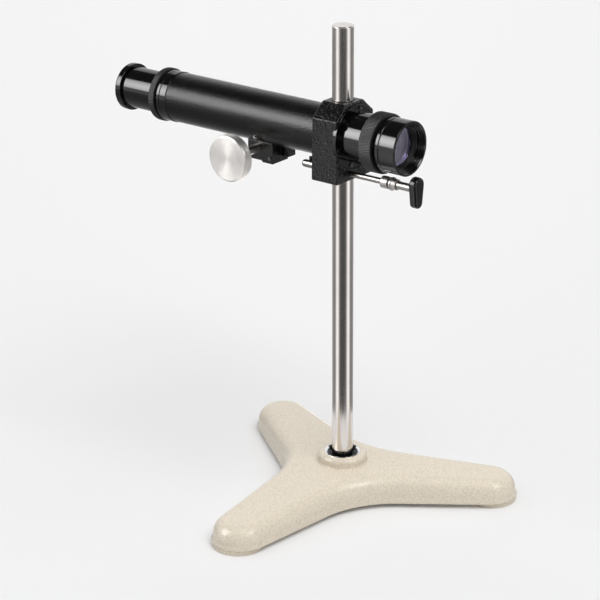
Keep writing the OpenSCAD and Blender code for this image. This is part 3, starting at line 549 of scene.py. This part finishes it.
def floor_cards(name, near, far, facing):
    """White and dark cards laid on the floor in turn, which only reflections show: brightness over the angle a from
    facing is 0.09 + 1.12 * (0.5 - 0.5 * cos(3 * a)) ** 3.8 + 0.4 * (0.5 - 0.5 * cos(a)) ** 2."""
    around, lift = 72, 0.0008
    dark, bright, bright_power, behind = 0.09, 1.12, 3.8, 0.4
    made = glowing(name + "_glow", 1.0)
    tree = made.node_tree

    def half_less_half_cosine(angle):
        return maths(tree, "ADD", maths(tree, "MULTIPLY", maths(tree, "COSINE", angle), -0.5), 0.5)

    apart = node(tree, "ShaderNodeSeparateXYZ")
    tree.links.new(place_on(tree), apart.inputs[0])
    angle = maths(tree, "ARCTAN2", apart.outputs["X"], maths(tree, "MULTIPLY", apart.outputs["Y"], -1.0))
    turn = maths(tree, "SUBTRACT", angle, facing)
    bands = maths(tree, "POWER", half_less_half_cosine(maths(tree, "MULTIPLY", turn, 3.0)), bright_power)
    back = maths(tree, "POWER", half_less_half_cosine(turn), 2.0)
    both = maths(tree, "ADD", maths(tree, "MULTIPLY", bands, bright), maths(tree, "MULTIPLY", back, behind))
    tree.links.new(maths(tree, "ADD", both, dark), tree.nodes["Emission"].inputs["Strength"])
    a = np.linspace(0, 2 * math.pi, around, endpoint=False)
    reach = np.array([[near], [far]])
    disc = np.stack(np.broadcast_arrays(reach * np.cos(a), reach * np.sin(a), lift), -1)
    stage_mesh(name, disc.reshape(-1, 3).tolist(), grid_faces(2, around).tolist(), made,
               ("camera", "diffuse", "transmission", "shadow"))


FINISHES = {}


def finish(key):
    """A finish by its plain name, made once."""
    if key in FINISHES:
        return FINISHES[key]
    hues = bpy.context.scene.telescope_colours
    nickel, black = tuple(hues.nickel), tuple(hues.black)
    makers = {
        # The cream enamel's colour carries painted shade in its furrows and painted light on its crests
        "enamel": lambda: wrinkled("cream_enamel", tuple(hues.enamel), 1.4, 0.11, 0.22),
        # The hammertone's colour carries painted shade between its cells
        "hammertone": lambda: hammered("black_hammertone", (0.005, 0.005, 0.005), 1.9, 0.42, 0.24, 0.5),
        "satin": lambda: enamelled("satin_black", black, 1.3, 0.26, 0.21, 1.42),
        "gloss": lambda: enamelled("gloss_black", shade(black, 0.7), 1.2, 0.003, 0.09, 1.6),
        "cell": lambda: enamelled("cell_black", shade(black, 0.7), 1.2, 0.003, 0.11, 1.6, 0.7),
        "matt": lambda: enamelled("matt_black", shade(black, 1.6), 0.3, 0.02, 0.45),
        "plate": lambda: enamelled("plate_black", black, 0.8, 0.02, 0.25, 1.6, 0.9),
        "plastic": lambda: enamelled("handle_plastic", black, 2.0, 0.006, 0.2),
        "pillar": lambda: plated("pillar_plate", nickel, 0.13, (1, 1, 0.02)),
        "rod": lambda: plated("spindle_plate", shade(nickel, 0.38), 0.25, (0.02, 1, 1)),
        "shaft": lambda: plated("shaft_steel", nickel, 0.3, (1, 0.02, 1)),
        # The dish's inside is painted near black, a painted dark reflection in the chrome
        "chrome": lambda: chrome_painted_dark_inside("dish_chrome", (0.88, 0.88, 0.89), (0.04, 0.04, 0.04), 11.5),
        "steel": lambda: plated("screw_steel", (0.7, 0.69, 0.67), 0.25),
        "blued": lambda: plated("blued_steel", (0.20, 0.19, 0.19), 0.25),
        "collar": lambda: plated("collar_nickel", shade(nickel, 0.55), 0.38),
        "alloy": lambda: lathe_cut("turned_alloy", tuple(hues.alloy), 0.41, "pinion", 0.16, 0.55),
        "brass": lambda: lathe_cut("turned_brass", (0.78, 0.62, 0.32), 0.3, "tube", 0.3),
        "glass": lambda: glazed("coated_glass", tuple(hues.coating)),
    }
    FINISHES[key] = makers[key]()
    return FINISHES[key]


def dress(**finishes):
    """Gives CAD nodes their finishes: the node's name, then the finish's."""
    for name, key in finishes.items():
        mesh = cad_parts[name].data
        mesh.materials.clear()
        mesh.materials.append(finish(key))


def leg_outline(reach, inset, sizes):
    """The casting's outline moved inwards: an arc of radius end_r - inset round each leg's end and an arc of radius
    hollow + inset between two legs, joined by straight lines. An end's arc opens to either side of its leg by
    wide = the direction of gap - acos((end_r + hollow) / |gap|), gap being the way from its centre to a hollow's."""
    middle = np.array([-sizes.left, -sizes.front])
    far = sizes.hollow + sizes.waist
    gap = np.array([far * math.cos(math.pi / 3) - reach, far * math.sin(math.pi / 3)])
    wide = math.atan2(gap[1], gap[0]) - math.acos(min(1.0, (sizes.end_r + sizes.hollow) / math.hypot(*gap)))

    def arc(way, distance, radius, first, last, count):
        a = np.linspace(first, last, count)
        centre = middle + distance * np.array([math.cos(way), math.sin(way)])
        return centre + radius * np.stack([np.cos(a), np.sin(a)], -1)

    parts = []
    for turn in LEGS:
        parts.append(arc(turn, reach, sizes.end_r - inset, turn - wide, turn + wide, PER_LEG))
        parts.append(arc(turn + math.pi / 3, far, sizes.hollow + inset,
                         turn + math.pi + wide, turn + math.pi * 5 / 3 - wide, PER_SIDE))
    return np.concatenate(parts)


def pierced(name, outer, bore, x0, x1, left, right, wide, material, body, stands_for):
    """A tube with a window underneath: an outer and an inner grid over (x, angle) that share their rows, without the
    faces between x = left and x = right and within wide of straight down, whose rims are then joined."""
    around, lip, half = 240, 0.25, math.asin(wide / outer)
    gap = 2 * math.pi - 2 * half
    turn = -math.pi / 2 + np.concatenate([np.linspace(half, half + gap, around), np.linspace(-half, half, 7)[1:-1]])
    xs = np.array([x0, x0 + lip * 0.3, x0 + lip, x0 + lip + 0.04, left,
                   right, x1 - lip - 0.04, x1 - lip, x1 - lip * 0.3, x1])
    drop = np.array([lip, lip * 0.3, 0, 0, 0, 0, 0, 0, lip * 0.3, lip])
    outside = swept("tube", (outer - drop)[:, None], xs[:, None], turn[None])
    inside = swept("tube", np.full((len(xs), 1), bore), xs[:, None], turn[None])
    cols, rows = len(turn), len(xs)
    offset = rows * cols
    before, after = 4 * cols, 5 * cols

    def joined(loop):
        """Quads between a loop of the outside and the same loop of the inside."""
        following = np.roll(loop, -1)
        return np.stack([loop, following, following + offset, loop + offset], -1)

    skin = grid_faces(rows, cols).reshape(rows - 1, cols, 4)
    keep = np.ones((rows - 1, cols), bool)
    keep[before // cols, around - 1:] = False
    skin = skin[keep]
    span = np.concatenate([np.arange(around - 1, cols), [0]])
    rim = np.concatenate([before + span, (after + span)[::-1]])
    end = np.arange(cols)
    faces = np.concatenate([skin, skin + offset, joined(rim), joined(end), joined((rows - 1) * cols + end)])
    points = np.concatenate([outside.reshape(-1, 3), inside.reshape(-1, 3)])
    piece(name, points, faces, body, material, stands_for)


def pad_rings(near, far, thick, round_off, place):
    """A slab between two round ends, (y, z, radius) each, with its edges rounded: the outline of both circles and
    their common tangents, drawn in by round_off * (1 - sin) as the height runs off by round_off * (1 - cos)."""
    (y0, z0, r0), (y1, z1, r1) = near, far
    gap = math.hypot(y1 - y0, z1 - z0)
    lean = math.acos((r0 - r1) / gap)
    head = math.atan2(z1 - z0, y1 - y0)
    first = head + np.linspace(lean, 2 * math.pi - lean, 40)
    second = head + np.linspace(-lean, lean, 28)
    steps = np.linspace(0, math.pi / 2, 7)
    inward = [(round_off * (1 - math.sin(u)), round_off * (1 - math.cos(u))) for u in steps]
    cap = round_off + 0.6
    heights = [(cap, 0.0), *inward, *((d, thick - h) for d, h in reversed(inward)), (cap, thick)]
    rows = []
    for d, h in heights:
        ends = ((y0, z0, r0 - d, first), (y1, z1, r1 - d, second))
        ring = np.concatenate([np.stack([y + r * np.cos(a), z + r * np.sin(a)], -1) for y, z, r, a in ends])
        rows.append(np.column_stack([np.full(len(ring), place + h), ring]))
    return np.array(rows)


class TELESCOPE_OT_casting(bpy.types.Operator):
    """Makes the three-legged casting, the pads under it and what holds the pillar"""

    bl_idname = "telescope.casting"
    bl_label = "Casting"

    def execute(self, context):
        sizes = context.scene.telescope_stand
        tip_rho = sizes.reach + sizes.end_r
        column, edge, wall, fillet, foot = 18.7, 3.6, 6.0, 2.0, sizes.foot
        socket, recess = 8.0, 13.83
        flat = sizes.draft + sizes.edge_in
        inset = leg_outline(sizes.reach, flat, sizes)
        count = len(inset)
        even = math.radians(270) + (np.arange(count) - PER_LEG // 2) * 2 * math.pi / count
        off = (np.arctan2(inset[:, 1], inset[:, 0]) - even + math.pi) % (2 * math.pi) - math.pi

        def top(rho):
            """The casting's height at a distance from the pillar's axis."""
            return sizes.crown - (sizes.crown - sizes.tip) * rho / tip_rho

        def level(reach, inset, z):
            """The outline at one height."""
            return np.column_stack([leg_outline(reach, inset, sizes), np.full(count, z)])

        def skin(reach, inset, drop):
            """The outline at a drop below the top."""
            q = leg_outline(reach, inset, sizes)
            return np.column_stack([q, top(np.linalg.norm(q, axis=-1)) - drop])

        def ring(r, z, t=1.0):
            """A circle, whose points stand evenly at t = 1 and in line with the outline's at t = 0."""
            way = even + (1 - t) * off
            return np.column_stack([r * np.cos(way), r * np.sin(way), np.full(count, z)])

        def inward(t):
            """The top between the edge, at t = 0, and the boss's fillet, at t = 1."""
            rho = np.linalg.norm(inset, axis=1, keepdims=True)
            q = inset * ((1 - t) * rho + t * (column + fillet)) / rho
            return np.column_stack([q, top(np.linalg.norm(q, axis=-1))])

        inner = sizes.reach - sizes.end_r - 16
        rings = [ring(SCREW_BORE, socket), ring(column, socket), ring(column, top(column) - wall)]
        rings += [skin(inner, wall + 5, wall), skin(inner, wall + 2, wall + 3), level(inner, wall + 1, foot)]
        rings += [level(sizes.reach, d, foot + h) for d, h in ((0.9, 0.0), (0.35, 0.25), (0.05, 0.7), (0.0, 1.1))]
        rings.append(skin(sizes.reach, sizes.draft, sizes.edge_down + 0.1))
        for u in np.linspace(0, math.pi / 2, 13):
            drawn_in = sizes.draft + sizes.edge_in * (1 - math.cos(u))
            rings.append(skin(sizes.reach, drawn_in, sizes.edge_down * (1 - math.sin(u))))
        rings += [inward(t) for t in (0.02, 0.12, 0.25, 0.4, 0.55, 0.7, 0.85)]
        for u in np.linspace(0, math.pi / 2, 8):
            r = column + fillet * (1 - math.sin(u))
            rings.append(ring(r, top(r) + fillet * (1 - math.cos(u)), u / math.pi))
        rings += [ring(column, 27.4, 0.7), ring(column, 28.3, 0.9)]
        for u in np.linspace(0, math.pi / 2, 9):
            rings.append(ring(column - edge + edge * math.cos(u), 29.0 + edge * math.sin(u)))
        rings += [ring(recess + 0.1, BOSS_TOP), ring(recess, BOSS_TOP - 0.1), ring(recess, DISH_SEAT)]
        rings += [ring(PILLAR_BORE, DISH_SEAT), ring(PILLAR_BORE, PILLAR_FOOT), ring(SCREW_BORE, PILLAR_FOOT)]
        faces = grid_faces(len(rings), count, True)
        piece("casting", np.array(rings), faces, "stand", finish("enamel"), ("base_casting",), 40.0)

        pad_r, pad_reach, around = sizes.end_r - 2.5, sizes.reach + 2.0, 96
        profile = rounded([(0, 0), (pad_r, 0, 0.5), (pad_r, foot), (0, foot)])
        turn = np.linspace(0, 2 * math.pi, around, endpoint=False)
        discs = []
        for leg in LEGS:
            x = pad_reach * math.cos(leg) - sizes.left + profile[:, :1] * np.cos(turn)
            y = pad_reach * math.sin(leg) - sizes.front + profile[:, :1] * np.sin(turn)
            discs.append(np.stack([x, y, np.broadcast_to(profile[:, 1:], x.shape)], -1))
        faces = np.concatenate([grid_faces(len(profile), around) + k * len(profile) * around for k in range(3)])
        piece("leg_pads", np.array(discs), faces, "stand", finish("enamel"), ("foot_pads",))
        dress(pillar_washer="steel", pillar_screw="steel")
        return {"FINISHED"}


class TELESCOPE_OT_rods(bpy.types.Operator):
    """Makes the pillar with its dished ring and the rod above the block"""

    bl_idname = "telescope.rods"
    bl_label = "Pillar and rod"

    def execute(self, context):
        dish = [(PILLAR_BORE, DISH_SEAT), (13.8, DISH_SEAT, 0.2), (13.8, 32.6, 0.25), (12.9, 32.85, 0.35),
                (12.2, 32.2, 0.5), (PILLAR_BORE, 29.0)]
        turned("foot_dish", "pillar", dish, "stand", finish("chrome"), ("pillar_ring",))
        neck, waist, half_waist = 6.5, 4.75, 2.6
        bar = [(0, PILLAR_FOOT), (PILLAR_R, PILLAR_FOOT, 0.6), (PILLAR_R, BLOCK_BASE - 0.1, 0.3),
               (neck, BLOCK_BASE - 0.1), (neck, SPINDLE_Z - half_waist), (waist, SPINDLE_Z - half_waist),
               (waist, SPINDLE_Z + half_waist), (neck, SPINDLE_Z + half_waist), (neck, BLOCK_BASE + 11.2, 0.4),
               (0, BLOCK_BASE + 11.2)]
        turned("pillar_bar", "pillar", bar, "stand", finish("pillar"), ("pillar",))
        rod = [(0, AXIS_H + 20), (5, AXIS_H + 20, 0.4), (5, BLOCK_TOP - 0.7), (7.8, BLOCK_TOP - 0.7),
               (7.8, BLOCK_TOP + 0.5), (PILLAR_R, BLOCK_TOP + 0.5), (PILLAR_R, BLOCK_TOP + 55, 0.7),
               (0, BLOCK_TOP + 55)]
        turned("rod_bar", "pillar", rod, "head", finish("pillar"), ("scale_rod",))
        return {"FINISHED"}


class TELESCOPE_OT_block(bpy.types.Operator):
    """Finishes the clamp block"""

    bl_idname = "telescope.block"
    bl_label = "Clamp block"

    def execute(self, context):
        dress(clamp_block="hammertone", flange_screws="blued")
        return {"FINISHED"}


class TELESCOPE_OT_tube(bpy.types.Operator):
    """Makes the main tube, its collar, the lock ring and the draw tube"""

    bl_idname = "telescope.tube"
    bl_label = "Tubes"

    def execute(self, context):
        knurl = context.scene.telescope_knurl
        pierced("body_tube", TUBE_R, TUBE_BORE, TUBE_BACK, 8.45, PINION_X - 6.9, PINION_X + 6.9, 3.9,
                finish("satin"), "head", ("main_tube",))
        back, step, front, bore = -170.0, -164.3, -148.2, 15.925
        groove = step + 2.9
        collar = [(bore, back), (17.6, back, 0.2), (17.6, step), (19.5, step, 0.35), (19.5, groove - 0.3, 0.25),
                  (19.05, groove - 0.2), (19.05, groove + 0.2), (19.5, groove + 0.3, 0.25),
                  (19.5, TUBE_BACK, 0.35), (17.97, TUBE_BACK), (17.97, front), (bore, front)]
        turned("collar_rings", "tube", collar, "head", finish("gloss"), ("end_collar",), around=256)
        knurled("draw_ring_knurl", "tube", 20.5, 16.28, -171.4, -166.0, knurl.narrow_teeth, knurl.depth,
                "draw_ring", finish("matt"), ("draw_lock_ring",), 0.012)
        pierced("slotted_tube", DRAW_R, DRAW_BORE, -202.5, -25.2, -110.2, -31.2, 2.5,
                finish("gloss"), "draw", ("draw_tube",))
        dress(rack="brass", guide_ring="brass", crosswire_ring="brass", tube_baffle="matt", stop_screw="steel")
        return {"FINISHED"}


class TELESCOPE_OT_objective(bpy.types.Operator):
    """Makes the barrel, the wide lock ring, the cell and its lenses"""

    bl_idname = "telescope.objective"
    bl_label = "Objective"

    def execute(self, context):
        knurl = context.scene.telescope_knurl
        step, front = 11.55, 45.85
        barrel = [(BARREL_BORE, 8.55), (23.7, 8.55, 0.1), (23.7, step, 0.35), (BARREL_R, step),
                  (BARREL_R, front, 0.3), (BARREL_BORE, front)]
        turned("barrel_turned", "tube", barrel, "head", finish("gloss"), ("barrel",), around=256)
        knurled("barrel_ring_knurl", "tube", 22.0, 18.75, 29.85, 40.85, knurl.wide_teeth, knurl.depth,
                "barrel_ring", finish("matt"), ("barrel_lock_ring",), 0.004)
        x, r = CELL_BACK, CELL_R
        front, seat, thread = x + 19.0, x + 2.4, x + 10.1
        cell = [(18.73, x), (r - 1.2, x, 0.1), (r - 1.2, x + 2.0), (r - 0.3, x + 2.0, 0.2), (r, x + 2.5, 0.2),
                (r, x + 4.75, 0.25), (r - 0.4, x + 5.0), (r - 0.4, x + 5.4), (r, x + 5.65, 0.25), (r, front, 0.55),
                (r - 1.5, front, 0.15), (r - 2.3, front - 0.8, 0.15), (r - 2.3, x + 17.0, 0.1),
                (r - 2.9, x + 17.0, 0.15), (r - 2.9, x + 15.2, 0.1), (r - 3.5, x + 15.2, 0.15),
                (r - 3.5, x + 13.05, 0.1), (15.88, x + 13.05, 0.1), (15.88, thread), (15.03, thread), (15.03, seat),
                (13.8, seat), (13.8, seat - 1.2), (16.6, seat - 1.2), (16.6, 46.05), (18.73, 46.05)]
        turned("cell_turned", "tube", cell, "head", finish("cell"), ("objective_cell",), around=256)
        dress(flint_lens="glass", crown_lens="glass", lens_retainer="matt")
        return {"FINISHED"}


class TELESCOPE_OT_focus(bpy.types.Operator):
    """Makes the pinion's housing, shaft and knob"""

    bl_idname = "telescope.focus"
    bl_label = "Focusing"

    def execute(self, context):
        dress(pinion_housing="hammertone", housing_plate="plate", plate_screws="blued", pinion_shaft="shaft")
        bore, neck, rim, inner, face = 3.28, 6.5, 17.5, 35.7, 43.45
        knob = [(bore, 32.7), (neck, 32.7, 0.3), (neck, inner), (rim, inner, 1.0), (rim, 43.7, 1.4), (3.0, face),
                (0, face), (0, 39.76), (bore, 39.76)]
        turned("knob_turned", "pinion", knob, "focus", finish("alloy"), ("focus_knob",), around=256)
        return {"FINISHED"}


class TELESCOPE_OT_eyepiece(bpy.types.Operator):
    """Makes the eyepiece and its lenses"""

    bl_idname = "telescope.eyepiece"
    bl_label = "Eyepiece"

    def execute(self, context):
        cap, step, spigot, lens_bore, eye_bore, hole = 18.2, -202.8, 14.575, 12.775, 8.03, 5.2
        body = [(hole, -206.7), (7.4, -208.3, 0.4), (cap, -208.3, 1.5), (cap, step, 0.45), (spigot, step),
                (spigot, -176.5, 0.2), (13.5, -176.5), (13.5, -181.5), (lens_bore, -181.5), (lens_bore, -200.4),
                (eye_bore, -200.4), (eye_bore, -206.4), (hole, -206.4)]
        turned("eyepiece_turned", "tube", body, "eyepiece", finish("gloss"), ("eyepiece_body",),
               around=256)
        dress(field_lens="glass", eye_lens="glass", field_lens_ring="matt", eye_lens_ring="matt")
        return {"FINISHED"}


class TELESCOPE_OT_lever(bpy.types.Operator):
    """Makes the clamp spindle with its pin, collar, shank and handle"""

    bl_idname = "telescope.lever"
    bl_label = "Lever"

    def execute(self, context):
        dress(clamp_spindle="rod", stop_pin="matt", lever_shank="rod")
        collar = [(2.28, 40.7), (3.4, 40.7, 0.15), (4.5, 41.8, 0.4), (4.5, 47.6, 0.3), (3.4, 47.6), (3.4, 49.4),
                  (4.9, 49.4, 0.3), (4.9, 50.7, 0.2), (4.3, 51.1, 0.2), (3.9, 54.7, 0.3), (3.03, 54.7),
                  (3.03, 49.7), (2.28, 46.7)]
        turned("collar_turned", "spindle", collar, "lever", finish("collar"), ("shank_collar",))
        big_r, small_r, above, length = 5.8, 4.2, 3.2, 23.0
        near = (SPINDLE_Y, SPINDLE_Z + above, big_r)
        far = (SPINDLE_Y, SPINDLE_Z + above + big_r + small_r - length, small_r)
        rings = pad_rings(near, far, 6.4, 1.7, 67.5)
        rows, count = rings.shape[:2]
        caps = [tuple(range(count)), tuple(range((rows - 1) * count, rows * count))]
        faces = grid_faces(rows, count).tolist() + caps
        piece("handle_moulded", rings, faces, "lever", finish("plastic"), ("lever_handle",))
        return {"FINISHED"}


class TELESCOPE_OT_stage(bpy.types.Operator):
    """Sets the floor, the lamps, the world and the camera"""

    bl_idname = "telescope.stage"
    bl_label = "Stage"

    def execute(self, context):
        scene = context.scene
        values = scene.telescope_stage
        self.floor(values)
        self.backdrop(values)
        self.world(scene, values)
        self.lamps(scene, values)
        self.camera(scene, values)
        scene.view_settings.view_transform = "Standard"
        return {"FINISHED"}

    def floor(self, values):
        """A pale paper floor that keeps the shadow, a little brighter for the rays that show it."""
        made, tree, shader = tree_of("floor_paper")
        grain = noise(tree, place_on(tree), 400, 3)
        tinted(tree, shader, ranged(tree, grain, 0, 1), (0.775, 0.775, 0.78), (0.795, 0.795, 0.80))
        shader.inputs["Roughness"].default_value = 0.8
        shader.inputs["Specular IOR Level"].default_value = 0.1
        shader.inputs["Emission Color"].default_value = (1, 1, 1, 1)
        lift = ranged(tree, shown_rays(tree), 0.0, values.floor_lift, 0, 1)
        tree.links.new(lift, shader.inputs["Emission Strength"])
        stage_mesh("floor", [(a * FLOOR_HALF, b * FLOOR_HALF, 0) for a, b in SQUARE], [(0, 1, 2, 3)], made)

    def backdrop(self, values):
        """A round white wall, low on the camera's side and tall on the other: its height over the angle a from the
        tall side is 1.6 + 5.6 * sqrt(cos(a)), the cosine being nought where it is negative."""
        around = 96
        turn = np.linspace(0, 2 * math.pi, around, endpoint=False)
        rise = np.clip(np.cos(turn - values.azimuth - math.pi / 2), 0, 1) ** 0.5
        z = np.array([[0.0], [0.5], [1.0]]) * (BACKDROP_LOW + BACKDROP_RISE * rise)
        wall = np.stack(np.broadcast_arrays(BACKDROP_R * np.cos(turn), BACKDROP_R * np.sin(turn), z), -1)
        stage_mesh("backdrop", wall.reshape(-1, 3).tolist(), grid_faces(len(z), around).tolist(),
                   glowing("backdrop_white", 0.9), ("diffuse", "shadow"))

    def world(self, scene, values):
        """Nearly white to the camera's rays and through glass, and dim to all others, reflections among them."""
        world = bpy.data.worlds.new("studio")
        scene.world = world
        world.use_nodes = True
        tree = world.node_tree
        sky = tree.nodes["Background"]
        sky.inputs["Color"].default_value = (1, 1, 1, 1)
        tree.links.new(ranged(tree, shown_rays(tree, False), values.sky, 0.92, 0, 1), sky.inputs["Strength"])

    def lamps(self, scene, values):
        """Two softboxes and the floor cards for the reflections, and two broad suns for the light."""
        softbox("softbox_left", math.radians(-39), math.radians(26), 1.1, 1.05, values.left_box)
        softbox("softbox_right", math.radians(86), math.radians(37), 0.7, 0.7, values.right_box)
        floor_cards("floor_cards", 0.15, 2.2, values.azimuth)
        suns = (("overhead", values.overhead, 45, (-0.5, 0.2, -1.0)), ("fill", values.fill, 120, (0.05, 0.1, -1.0)))
        for name, strength, spread, way in suns:
            light = bpy.data.lights.new(name, "SUN")
            light.energy = strength
            light.angle = math.radians(spread)
            lamp = bpy.data.objects.new(name, light)
            scene.collection.objects.link(lamp)
            lamp.rotation_euler = Vector(way).to_track_quat("-Z", "Y").to_euler()
            lamp.visible_glossy = False

    def camera(self, scene, values):
        """The photo's camera: its place and lens, turned by azimuth, elevation and roll."""
        back = outwards(values.azimuth, values.elevation)
        right = rightwards(values.azimuth)
        up = back.cross(right)
        roll = values.roll
        side = right * math.cos(roll) + up * math.sin(roll)
        over = up * math.cos(roll) - right * math.sin(roll)
        data = bpy.data.cameras.new("camera")
        data.sensor_fit = "HORIZONTAL"
        data.sensor_width = 36.0
        data.lens = values.lens
        data.clip_end = 100.0
        camera = bpy.data.objects.new("camera", data)
        scene.collection.objects.link(camera)
        turn = Matrix((side, over, back)).transposed().to_4x4()
        camera.matrix_world = Matrix.Translation(Vector(CAMERA_AT)) @ turn
        scene.camera = camera


class TELESCOPE_PT_panel(bpy.types.Panel):
    """Lists the telescope's operators and sizes"""

    bl_idname = "TELESCOPE_PT_panel"
    bl_label = "Reading telescope"
    bl_space_type = "VIEW_3D"
    bl_region_type = "UI"
    bl_category = "Telescope"

    def draw(self, context):
        for group, fields in GROUPS.items():
            for field in fields.__annotations__:
                self.layout.prop(getattr(context.scene, group), field)
        for each in STEPS:
            self.layout.operator(each.bl_idname)


STEPS = (
    TELESCOPE_OT_stage,
    TELESCOPE_OT_casting,
    TELESCOPE_OT_rods,
    TELESCOPE_OT_block,
    TELESCOPE_OT_tube,
    TELESCOPE_OT_objective,
    TELESCOPE_OT_focus,
    TELESCOPE_OT_eyepiece,
    TELESCOPE_OT_lever,
)
GROUPS = {
    "telescope_stand": StandSizes,
    "telescope_knurl": KnurlSizes,
    "telescope_colours": FinishColours,
    "telescope_stage": StageValues,
}


def register():
    for each in (*GROUPS.values(), *STEPS, TELESCOPE_PT_panel):
        bpy.utils.register_class(each)
    for key, group in GROUPS.items():
        setattr(bpy.types.Scene, key, PointerProperty(type=group))


def unregister():
    for key in GROUPS:
        delattr(bpy.types.Scene, key)
    for each in reversed((*GROUPS.values(), *STEPS, TELESCOPE_PT_panel)):
        bpy.utils.unregister_class(each)


def main():
    register()
    for each in STEPS:
        getattr(bpy.ops.telescope, each.bl_idname.split(".")[1])()


if __name__ == "__main__":
    main()
